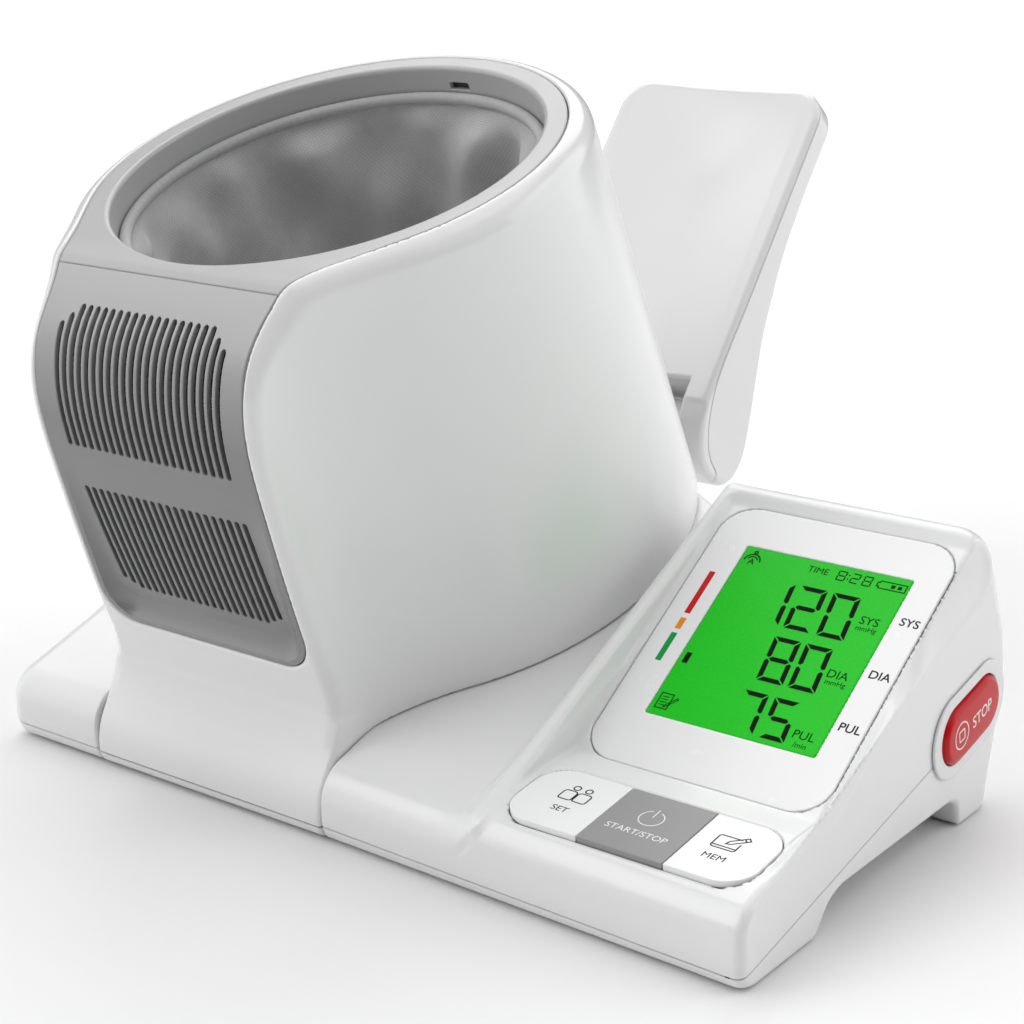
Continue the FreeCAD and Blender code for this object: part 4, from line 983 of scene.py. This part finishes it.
class Print:
    """Thin raised print: a set of flat outlines with a little thickness."""

    def __init__(self, kind, base, thick=0.06):
        self.kind, self.base, self.thick = kind, base, thick
        self.v, self.f = [], []

    def poly(self, pts):
        n0 = len(self.v)
        n = len(pts)
        for h in (self.base, self.base + self.thick):
            self.v += [(p[0], p[1], h) for p in pts]
        area = sum(pts[i][0] * pts[(i + 1) % n][1] - pts[(i + 1) % n][0] * pts[i][1] for i in range(n))
        o = list(range(n)) if area > 0 else list(range(n))[::-1]
        self.f.append([n0 + n + i for i in o])
        self.f.append([n0 + i for i in o[::-1]])
        for i in range(n):
            p, q = o[i], o[(i + 1) % n]
            self.f.append([n0 + p, n0 + q, n0 + n + q, n0 + n + p])

    def rect(self, x0, x1, y0, y1):
        self.poly([(x0, y0), (x1, y0), (x1, y1), (x0, y1)])

    def line(self, pts, w, closed=False):
        """Stroke of width w along the points."""
        p = np.array(pts, float)
        n = len(p)
        L, R = [], []
        for i in range(n):
            a = p[i - 1] if (i or closed) else p[i]
            b = p[(i + 1) % n] if (i < n - 1 or closed) else p[i]
            t0 = p[i] - a
            t1 = b - p[i]
            t0 = t0 / np.linalg.norm(t0) if np.linalg.norm(t0) > 1e-9 else t1 / np.linalg.norm(t1)
            t1 = t1 / np.linalg.norm(t1) if np.linalg.norm(t1) > 1e-9 else t0
            nn = np.array([-(t0 + t1)[1], (t0 + t1)[0]])
            nn = nn / np.linalg.norm(nn)
            k = max(0.4, float(nn @ np.array([-t1[1], t1[0]])))
            L.append(p[i] + nn * w / 2 / k)
            R.append(p[i] - nn * w / 2 / k)
        m = n if closed else n - 1
        n0 = len(self.v)
        for h in (self.base, self.base + self.thick):
            self.v += [(q[0], q[1], h) for q in L] + [(q[0], q[1], h) for q in R]
        for i in range(m):
            j = (i + 1) % n
            a, b, c, d = i, j, n + j, n + i
            up, dn = n0 + 2 * n, n0
            self.f.append([up + a, up + d, up + c, up + b])
            self.f.append([dn + a, dn + b, dn + c, dn + d])
            self.f.append([dn + a, up + a, up + b, dn + b])
            self.f.append([dn + d, dn + c, up + c, up + d])
        if not closed:
            for i, fl in ((0, False), (n - 1, True)):
                q = [n0 + i, n0 + n + i, n0 + 3 * n + i, n0 + 2 * n + i]
                self.f.append(q[::-1] if fl else q)

    def arc(self, cx, cy, r, a0, a1, w, n=28):
        full = abs(a1 - a0) >= 359.9
        t = np.radians(np.linspace(a0, a1, n, endpoint=not full))
        self.line([(cx + r * math.cos(q), cy + r * math.sin(q)) for q in t], w, closed=full)

    def text(self, s, cx, cy, h, bold=0.0, turn=0.0, spacing=1.0, shear=0.0):
        cu = bpy.data.curves.new("t", "FONT")
        cu.body = s
        cu.align_x = "CENTER"
        cu.align_y = "CENTER"
        cu.size = h / 0.7
        cu.offset = bold
        cu.space_character = spacing
        cu.shear = shear
        cu.resolution_u = 4
        ob = bpy.data.objects.new("t", cu)
        bpy.context.scene.collection.objects.link(ob)
        cu.extrude = 0.5
        dg = bpy.context.evaluated_depsgraph_get()
        me = bpy.data.meshes.new_from_object(ob.evaluated_get(dg))
        bpy.data.objects.remove(ob)
        n0 = len(self.v)
        c, q = math.cos(turn), math.sin(turn)
        ys = [v.co.y for v in me.vertices]
        mid = (min(ys) + max(ys)) / 2
        for v in me.vertices:
            x, y = v.co.x, v.co.y - mid
            self.v.append((cx + x * c - y * q, cy + x * q + y * c, self.base + (self.thick if v.co.z > 0 else 0)))
        for p in me.polygons:
            self.f.append([n0 + i for i in p.vertices])
        bpy.data.meshes.remove(me)

    def digit(self, ch, x, y, w, h, t, gap, lean=0.0):
        """Seven-segment figure with its lower left corner at (x, y)."""
        seg = {"0": "abcdef", "1": "bc", "2": "abged", "3": "abgcd", "4": "fgbc", "5": "afgcd", "6": "afgedc", "7": "abc", "8": "abcdefg", "9": "abfgcd"}[ch]
        m = y + h / 2
        x1, y1 = x + w, y + h
        g = gap
        b = t * 0.5
        shapes = {
            "a": [(x + g, y1), (x1 - g, y1), (x1 - g - t, y1 - t), (x + g + t, y1 - t)],
            "d": [(x + g + t, y + t), (x1 - g - t, y + t), (x1 - g, y), (x + g, y)],
            "g": [(x + g + b, m), (x + g + t, m + b), (x1 - g - t, m + b), (x1 - g - b, m), (x1 - g - t, m - b), (x + g + t, m - b)],
            "f": [(x, y1 - g), (x + t, y1 - g - t), (x + t, m + g + b), (x + b, m + g), (x, m + g + b * 0.6)],
            "b": [(x1, y1 - g), (x1, m + g + b * 0.6), (x1 - b, m + g), (x1 - t, m + g + b), (x1 - t, y1 - g - t)],
            "e": [(x, y + g), (x, m - g - b * 0.6), (x + b, m - g), (x + t, m - g - b), (x + t, y + g + t)],
            "c": [(x1, y + g), (x1 - t, y + g + t), (x1 - t, m - g - b), (x1 - b, m - g), (x1, m - g - b * 0.6)],
        }
        for s in seg:
            self.poly([(q[0] + lean * (q[1] - m), q[1]) for q in shapes[s]])

    def make(self, name, mat, body, slot):
        P = to_row(place_flat(self.kind, np.array(self.v, float)))
        me = bpy.data.meshes.new(name)
        me.from_pydata([tuple(p) for p in P], [], self.f)
        me.update()
        return add_object(name, me, mat, body, slot)


fig = Print("lens", -0.16, 0.05)
for ch, x in (("1", -14.0), ("2", -2.2), ("0", 9.9)):
    fig.digit(ch, x, 64.8, 9.9, 18.0, 1.75, 0.35, -0.11)
for ch, x in (("8", -0.9), ("0", 10.6)):
    fig.digit(ch, x, 42.8, 9.7, 18.0, 1.75, 0.35, -0.11)
for ch, x in (("7", -0.6), ("5", 10.6)):
    fig.digit(ch, x, 22.4, 9.0, 15.8, 1.75, 0.35, -0.11)
fig.rect(-27.6, -25.6, 42.2, 46.6)
fig.make("lcd_figures", M["lcd_segment"], "base", "lcd")

thin = Print("lens", -0.16, 0.05)
for ch, x in (("8", 6.6), ("2", 11.6), ("8", 16.0)):
    thin.digit(ch, x, 87.9, 3.2, 4.2, 0.45, 0.12)
thin.rect(10.45, 10.95, 88.9, 89.4)
thin.rect(10.45, 10.95, 90.6, 91.1)
thin.line([(22.0, 88.4), (31.4, 88.4), (31.4, 91.4), (22.0, 91.4), (22.0, 90.7), (21.2, 90.7), (21.2, 89.1), (22.0, 89.1)], 0.4, True)
thin.rect(26.2, 27.6, 89.2, 90.6)
thin.rect(28.6, 30.0, 89.2, 90.6)
thin.text("TIME", -0.5, 90.2, 2.5)
thin.text("SYS", 25.6, 74.6, 3.2)
thin.text("mmHg", 25.8, 71.0, 1.9)
thin.text("DIA", 25.2, 51.8, 3.2)
thin.text("mmHg", 25.8, 48.2, 1.9)
thin.text("PUL", 25.4, 27.0, 3.2)
thin.text("/min", 25.8, 23.2, 1.9)
thin.arc(-25.0, 88.2, 2.9, 0, 180, 0.55)
thin.arc(-25.0, 88.2, 1.9, 20, 160, 0.5)
thin.arc(-25.0, 92.0, 0.55, 0, 360, 0.5, 14)
thin.text("A", -25.0, 88.0, 2.4, 0.05)
thin.line([(-27.4, 23.2), (-23.0, 23.2), (-23.0, 29.2), (-27.4, 29.2)], 0.4, True)
for q in (24.6, 25.7, 26.8, 27.9):
    thin.line([(-26.6, q), (-24.2, q)], 0.32)
thin.line([(-24.4, 24.6), (-21.2, 28.2), (-20.7, 27.7), (-23.9, 24.2), (-24.6, 23.9)], 0.35, True)
thin.make("lcd_marks", M["lcd_thin"], "base", "lcd")

lab = Print("lens", -0.005, 0.05)
for s, x, y in (("SYS", 38.6, 77.2), ("DIA", 38.4, 55.0), ("PUL", 38.2, 33.6)):
    lab.text(s, x, y, 3.15, 0.05)
lab.make("lens_labels", M["ink_black"], "base", "lens")
for nm, y0, y1 in (("red", 61.4, 80.3), ("orange", 54.5, 59.3), ("green", 40.6, 52.7)):
    bar = Print("lens", -0.005, 0.05)
    bar.poly(rounded([(-37.0, y0, 0.2), (-34.8, y0, 0.2), (-34.8, y1, 0.2), (-37.0, y1, 0.2)], 3))
    bar.make("range_bar_" + nm, M["ink_" + nm], "base", "lens")

KT = 0.09
pr = Print("deck", KT, 0.05)
for cx in (-28.0, -23.6):
    pr.arc(cx, 22.6, 1.15, 0, 360, 0.46, 20)
pr.line(rounded([(-30.9, 15.6, 0.8), (-26.2, 15.6, 0.8), (-26.2, 20.7, 1.2), (-30.9, 20.7, 1.2)], 4), 0.46, True)
pr.line(rounded([(-25.7, 15.6, 0.8), (-21.0, 15.6, 0.8), (-21.0, 20.7, 1.2), (-25.7, 20.7, 1.2)], 4), 0.46, True)
pr.text("SET", -26.2, 10.4, 2.7)
pr.make("print_set", M["ink_black"], "key_left", "key_white")
pr = Print("deck", KT, 0.05)
pr.arc(1.5, 19.0, 4.0, 112, 428, 0.36, 44)
pr.line([(1.5, 19.6), (1.5, 24.2)], 0.36)
pr.text("START/STOP", 1.6, 10.4, 2.7)
pr.make("print_start", M["ink_white"], "key_middle", "key_grey")
pr = Print("deck", KT, 0.05)
pr.line(rounded([(31.6, 21.8, 0.3), (24.2, 21.8, 0.9), (24.2, 15.2, 0.9), (32.4, 15.2, 0.9), (32.4, 19.4, 0.3)], 4)[1:-1], 0.46)
pr.line([(24.2, 16.4), (32.4, 16.4)], 0.46)
pr.line([(28.0, 18.0), (28.5, 19.6), (33.0, 23.6), (34.1, 22.4), (29.6, 18.4)], 0.46, True)
pr.line([(32.0, 22.7), (33.1, 21.5)], 0.46)
pr.text("MEM", 28.6, 10.4, 2.7)
pr.make("print_mem", M["ink_black"], "key_right", "key_white")
pr = Print("stop", -0.01, 0.06)
pr.text("STOP", 5.2, 0.0, 4.2, 0.03)
pr.arc(-9.6, 0.0, 4.6, 0, 360, 0.5, 40)
pr.line(rounded([(-11.4, -1.8, 0.3), (-7.8, -1.8, 0.3), (-7.8, 1.8, 0.3), (-11.4, 1.8, 0.3)], 3), 0.5, True)
pr.make("print_stop", M["ink_white"], "stop", "button_red")

# ---------------------------------------------------------------- cuff: a loose fabric sleeve held at both ends
def sleeve():
    NA, NW = 220, 66
    R0, W0, W1 = 74.0, -12.4, -146.0
    rng = np.random.default_rng(7)
    ang = np.linspace(0, 2 * math.pi, NA, endpoint=False)
    ws = np.linspace(W0, W1, NW)
    A, Wg = np.meshgrid(ang, ws, indexing="ij")
    s = (Wg - W0) / (W1 - W0)
    env = np.clip(s / 0.10, 0, 1) * np.clip((1 - s) / 0.06, 0, 1)
    pat = np.zeros_like(A)
    for k in range(26):
        n = rng.integers(4, 17)
        ph, ph2 = rng.uniform(0, 6.283, 2)
        q = rng.uniform(1.0, 6.5)
        tw = rng.uniform(-3.0, 3.0)
        pat += rng.uniform(0.4, 1.0) * np.sin(n * A + tw * s * 3.1 + ph) * np.sin(q * math.pi * s + ph2) / (0.6 + n * 0.06)
    pat /= np.abs(pat).max()
    rad = R0 - env * (2.4 + 2.4 * pat)
    P = np.stack([rad * np.cos(A), rad * np.sin(A), Wg], -1).reshape(-1, 3)
    F = []
    for i in range(NA):
        j = (i + 1) % NA
        for k in range(NW - 1):
            F.append((i * NW + k, i * NW + k + 1, j * NW + k + 1, j * NW + k))
    return P, np.array(F), A.ravel(), s.ravel(), (NA, NW, R0, W0, W1), pat


P0, F0, A0, S0, SHAPE, PAT = sleeve()
me = build_mesh("cuff_sleeve_cloth", to_row(in_drum_frame(P0)), F0)
cloth = bpy.data.objects.new("cuff_cloth", me)
bpy.context.scene.collection.objects.link(cloth)
sc = bpy.context.scene
vg = cloth.vertex_groups.new(name="pin")
pins = [i for i in range(len(P0)) if S0[i] < 0.035 or S0[i] > 0.985]
vg.add(pins, 1.0, "REPLACE")
md = cloth.modifiers.new("c", "CLOTH")
st = md.settings
st.quality = 6
st.mass = 0.12
st.tension_stiffness = 12
st.compression_stiffness = 12
st.shear_stiffness = 3
st.bending_stiffness = 0.04
st.vertex_group_mass = "pin"
st.shrink_min = -0.12
st.shrink_max = -0.12
st.use_pressure = False
md.collision_settings.use_collision = False
md.collision_settings.use_self_collision = False
md.point_cache.frame_start = 1
md.point_cache.frame_end = 30
for q in range(1, 27):
    sc.frame_set(q)
dg = bpy.context.evaluated_depsgraph_get()
ev = cloth.evaluated_get(dg)
C = np.empty(len(P0) * 3, np.float32)
ev.data.vertices.foreach_get("co", C)
cloth.modifiers.clear()
sc.frame_set(1)
C = C.reshape(-1, 3).astype(float) * 1000.0 + ORIGIN
u, v, w = drum_frame(C[:, 0], C[:, 1], C[:, 2])
rho, ang = np.hypot(u, v), np.arctan2(v, u)
NA, NW = SHAPE[0], SHAPE[1]
rho = np.where(rho > 74.6, 74.6 - 0.25 * (rho - 74.6), rho)
G = np.clip(rho, 58.0, 74.75).reshape(NA, NW)
for _ in range(3):
    G = (np.roll(G, 1, 0) + 2 * G + np.roll(G, -1, 0)) / 4
    G[:, 1:-1] = (G[:, :-2] + 2 * G[:, 1:-1] + G[:, 2:]) / 4
env_ = np.clip(S0.reshape(NA, NW) / 0.08, 0, 1) * np.clip((1 - S0.reshape(NA, NW)) / 0.06, 0, 1)
mid = G.mean(0, keepdims=True)
D = G - mid
D = 1.7 * D / max(0.2, float(D[:, 6:-4].std())) + 2.7 * PAT / float(PAT.std())
G = mid * (1 - env_) + env_ * 70.4 + env_ * D + (1 - env_) * (G - mid)
G = np.where(G > 73.4, 73.4 + 1.3 * np.tanh((G - 73.4) / 2.6), G)
rho = np.clip(G, 57.0, 74.75).ravel()
w = np.clip(w, -146.2, -12.0)
PC = np.stack([rho * np.cos(ang), rho * np.sin(ang), w], 1)
me.vertices.foreach_set("co", to_row(in_drum_frame(PC)).astype(np.float32).ravel())
me.polygons.foreach_set("use_smooth", np.ones(len(me.polygons), bool))
fa = me.attributes.new("flat", "FLOAT_VECTOR", "POINT")
fl = np.stack([A0 * 0.0745, -S0 * 0.138, np.zeros_like(A0)], 1)
fa.data.foreach_set("vector", fl.astype(np.float32).ravel())
me.update()
me.materials.append(M["cuff_fabric"])
sub = cloth.modifiers.new("s", "SUBSURF")
sub.levels = 1
sub.render_levels = 1
dg = bpy.context.evaluated_depsgraph_get()
fine = bpy.data.meshes.new_from_object(cloth.evaluated_get(dg))
cloth.modifiers.clear()
cloth.data = fine
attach(cloth, "drum")
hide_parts("cuff_sleeve")


def piping():
    """Sewn cord along the hem: a round bead with small stitch dents."""
    NA, NB = 640, 14
    P, F = [], []
    for i in range(NA):
        a = 2 * math.pi * i / NA
        r = 2.1 + 0.06 * math.sin(150 * a)
        for j in range(NB):
            b = 2 * math.pi * j / NB
            rr = 72.75 + r * math.cos(b)
            P.append((rr * math.cos(a), rr * math.sin(a), -11.6 + r * math.sin(b)))
    for i in range(NA):
        for j in range(NB):
            k, l = (i + 1) % NA, (j + 1) % NB
            F.append((i * NB + j, k * NB + j, k * NB + l, i * NB + l))
    return np.array(P), np.array(F)


Pp, Fp = piping()
pm = build_mesh("cuff_hem", to_row(in_drum_frame(Pp)), Fp)
pm.polygons.foreach_set("use_smooth", np.ones(len(pm.polygons), bool))
hem = add_object("cuff_hem", pm, M["piping_fabric"], "drum", "cuff_fabric", ("cuff_piping",))

# ---------------------------------------------------------------- finishes of the carried-over pieces
finish_of = {}
for nd in frame["record"].get("nodes", []) if isinstance(frame["record"].get("nodes", []), list) else []:
    if isinstance(nd, dict) and "name" in nd:
        finish_of[nd["name"]] = nd.get("material_slot") or nd.get("slot")
FINISH = {
    "base_screws": "fastener_steel", "rubber_feet": "foot_rubber", "drum_hinge_pins": "pin_steel", "battery_door": "shell_white", "battery_cells": "cell_wrap",
    "battery_contacts": "contact_plate", "power_inlet": "inlet_black", "lcd_spacers": "spacer_foam", "main_board": "circuit_board", "buzzer": "switch_black",
    "key_switches": "switch_black", "key_board": "circuit_board", "stop_switch": "switch_black", "stop_board": "circuit_board", "bracket_screws": "fastener_steel",
    "arm_rest_pin": "pin_steel", "friction_washers": "washer", "cuff_frame": "frame_dark", "drum_floor_ring": "frame_dark", "drum_screws": "fastener_steel",
    "air_bladder": "bladder_rubber", "pump_tray": "frame_dark", "air_pump": "pump_plastic", "pump_motor": "motor_steel", "release_valve": "pump_plastic",
    "sensor_board": "circuit_board", "pressure_sensor": "switch_black", "air_hose": "hose_rubber", "arm_rest_screws": "fastener_steel",
}
for nm, ob in frame["nodes"].items():
    mt = M[FINISH.get(nm, "shell_white")]
    ob.data.materials.clear()
    ob.data.materials.append(mt)

# ---------------------------------------------------------------- stage
fm, nt, b = nodes_of("floor_paper")
co = nt.nodes.new("ShaderNodeTexCoord").outputs["Object"]
n = noise(nt, co, 9.0, 3.0)
# Painted shade: the floor colour is darkest close to the device and lightens from 0.25 m to 1.6 m out from the centre,
# with a faint noise on top.
far = nt.nodes.new("ShaderNodeVectorMath")
far.operation = "LENGTH"
nt.links.new(co, far.inputs[0])
fr = nt.nodes.new("ShaderNodeMapRange")
fr.inputs["From Min"].default_value = 0.25
fr.inputs["From Max"].default_value = 1.6
fr.inputs["To Min"].default_value = 0.0
fr.inputs["To Max"].default_value = 0.9
nt.links.new(far.outputs["Value"], fr.inputs["Value"])
mx = nt.nodes.new("ShaderNodeMath")
mx.operation = "MULTIPLY_ADD"
mx.inputs[1].default_value = 0.1
nt.links.new(n.outputs["Fac"], mx.inputs[0])
nt.links.new(fr.outputs[0], mx.inputs[2])
c = ramp(nt, mx.outputs[0], [(0.0, (0.825, 0.825, 0.827)), (1.0, (0.985, 0.985, 0.985))])
nt.links.new(c.outputs[0], b.inputs["Base Color"])
b.inputs["Roughness"].default_value = 0.7
b.inputs["Specular IOR Level"].default_value = 0.2
me = bpy.data.meshes.new("floor")
K = 24
vv, ff = [], []
for i in range(K + 1):
    for j in range(K + 1):
        vv.append((-9 + 18.0 * i / K, -9 + 18.0 * j / K, 0))
for i in range(K):
    for j in range(K):
        q = i * (K + 1) + j
        ff.append((q, q + K + 1, q + K + 2, q + 1))
me.from_pydata(vv, [], ff)
me.materials.append(fm)
floor = bpy.data.objects.new("floor", me)
sc.collection.objects.link(floor)

w_ = bpy.data.worlds.new("studio")
sc.world = w_
w_.use_nodes = True
wt = w_.node_tree
bg = wt.nodes["Background"]
wc = wt.nodes.new("ShaderNodeTexCoord")
dot = wt.nodes.new("ShaderNodeVectorMath")
dot.operation = "DOT_PRODUCT"
dot.inputs[1].default_value = Vector((-0.62, -0.30, 0.72)).normalized()
wt.links.new(wc.outputs["Generated"], dot.inputs[0])
mr = wt.nodes.new("ShaderNodeMapRange")
mr.inputs["From Min"].default_value = -1.0
mr.inputs["From Max"].default_value = 1.0
mr.inputs["To Min"].default_value = 0.04
mr.inputs["To Max"].default_value = 0.13
mr.interpolation_type = "SMOOTHSTEP"
wt.links.new(dot.outputs["Value"], mr.inputs["Value"])
wt.links.new(mr.outputs[0], bg.inputs[1])
bg.inputs[0].default_value = (1.0, 1.0, 1.0, 1)


def sun(name, frm, strength, angle):
    li = bpy.data.lights.new(name, "SUN")
    li.energy = strength
    li.angle = math.radians(angle)
    ob = bpy.data.objects.new(name, li)
    ob.rotation_euler = (-Vector(frm)).to_track_quat("-Z", "Y").to_euler()
    sc.collection.objects.link(ob)
    return ob


sun("top_light", (0.0, 0.0, 1.0), 0.84, 60)
sun("overhead_box", (-0.57, 0.13, 0.82), 0.60, 40)
sun("back_light", (-0.375, 0.65, 0.66), 0.80, 42)
sun("front_light", (-0.375, -0.65, 0.66), 0.68, 42)
sun("right_light", (0.60, 0.75, 0.32), 1.25, 60)
sun("left_light", (-0.823, -0.475, 0.30), 1.05, 60)
sun("side_light", (0.70, 0.12, 0.70), 0.54, 60)

cam_data = bpy.data.cameras.new("camera")
cam_data.sensor_width = 36.0
cam_data.sensor_fit = "HORIZONTAL"
cam_data.lens = 73.83
cam_data.clip_start = 0.01
cam_data.clip_end = 60.0
cam = bpy.data.objects.new("camera", cam_data)
sc.collection.objects.link(cam)
pitch, yaw = math.radians(16.8), math.radians(37.0)
fwd = Vector((-math.sin(yaw) * math.cos(pitch), math.cos(yaw) * math.cos(pitch), -math.sin(pitch)))
cam.location = (0.4233, -0.6182, 0.3017)
cam.rotation_euler = fwd.to_track_quat("-Z", "Y").to_euler()
sc.camera = cam
sc.view_settings.view_transform = "Standard"
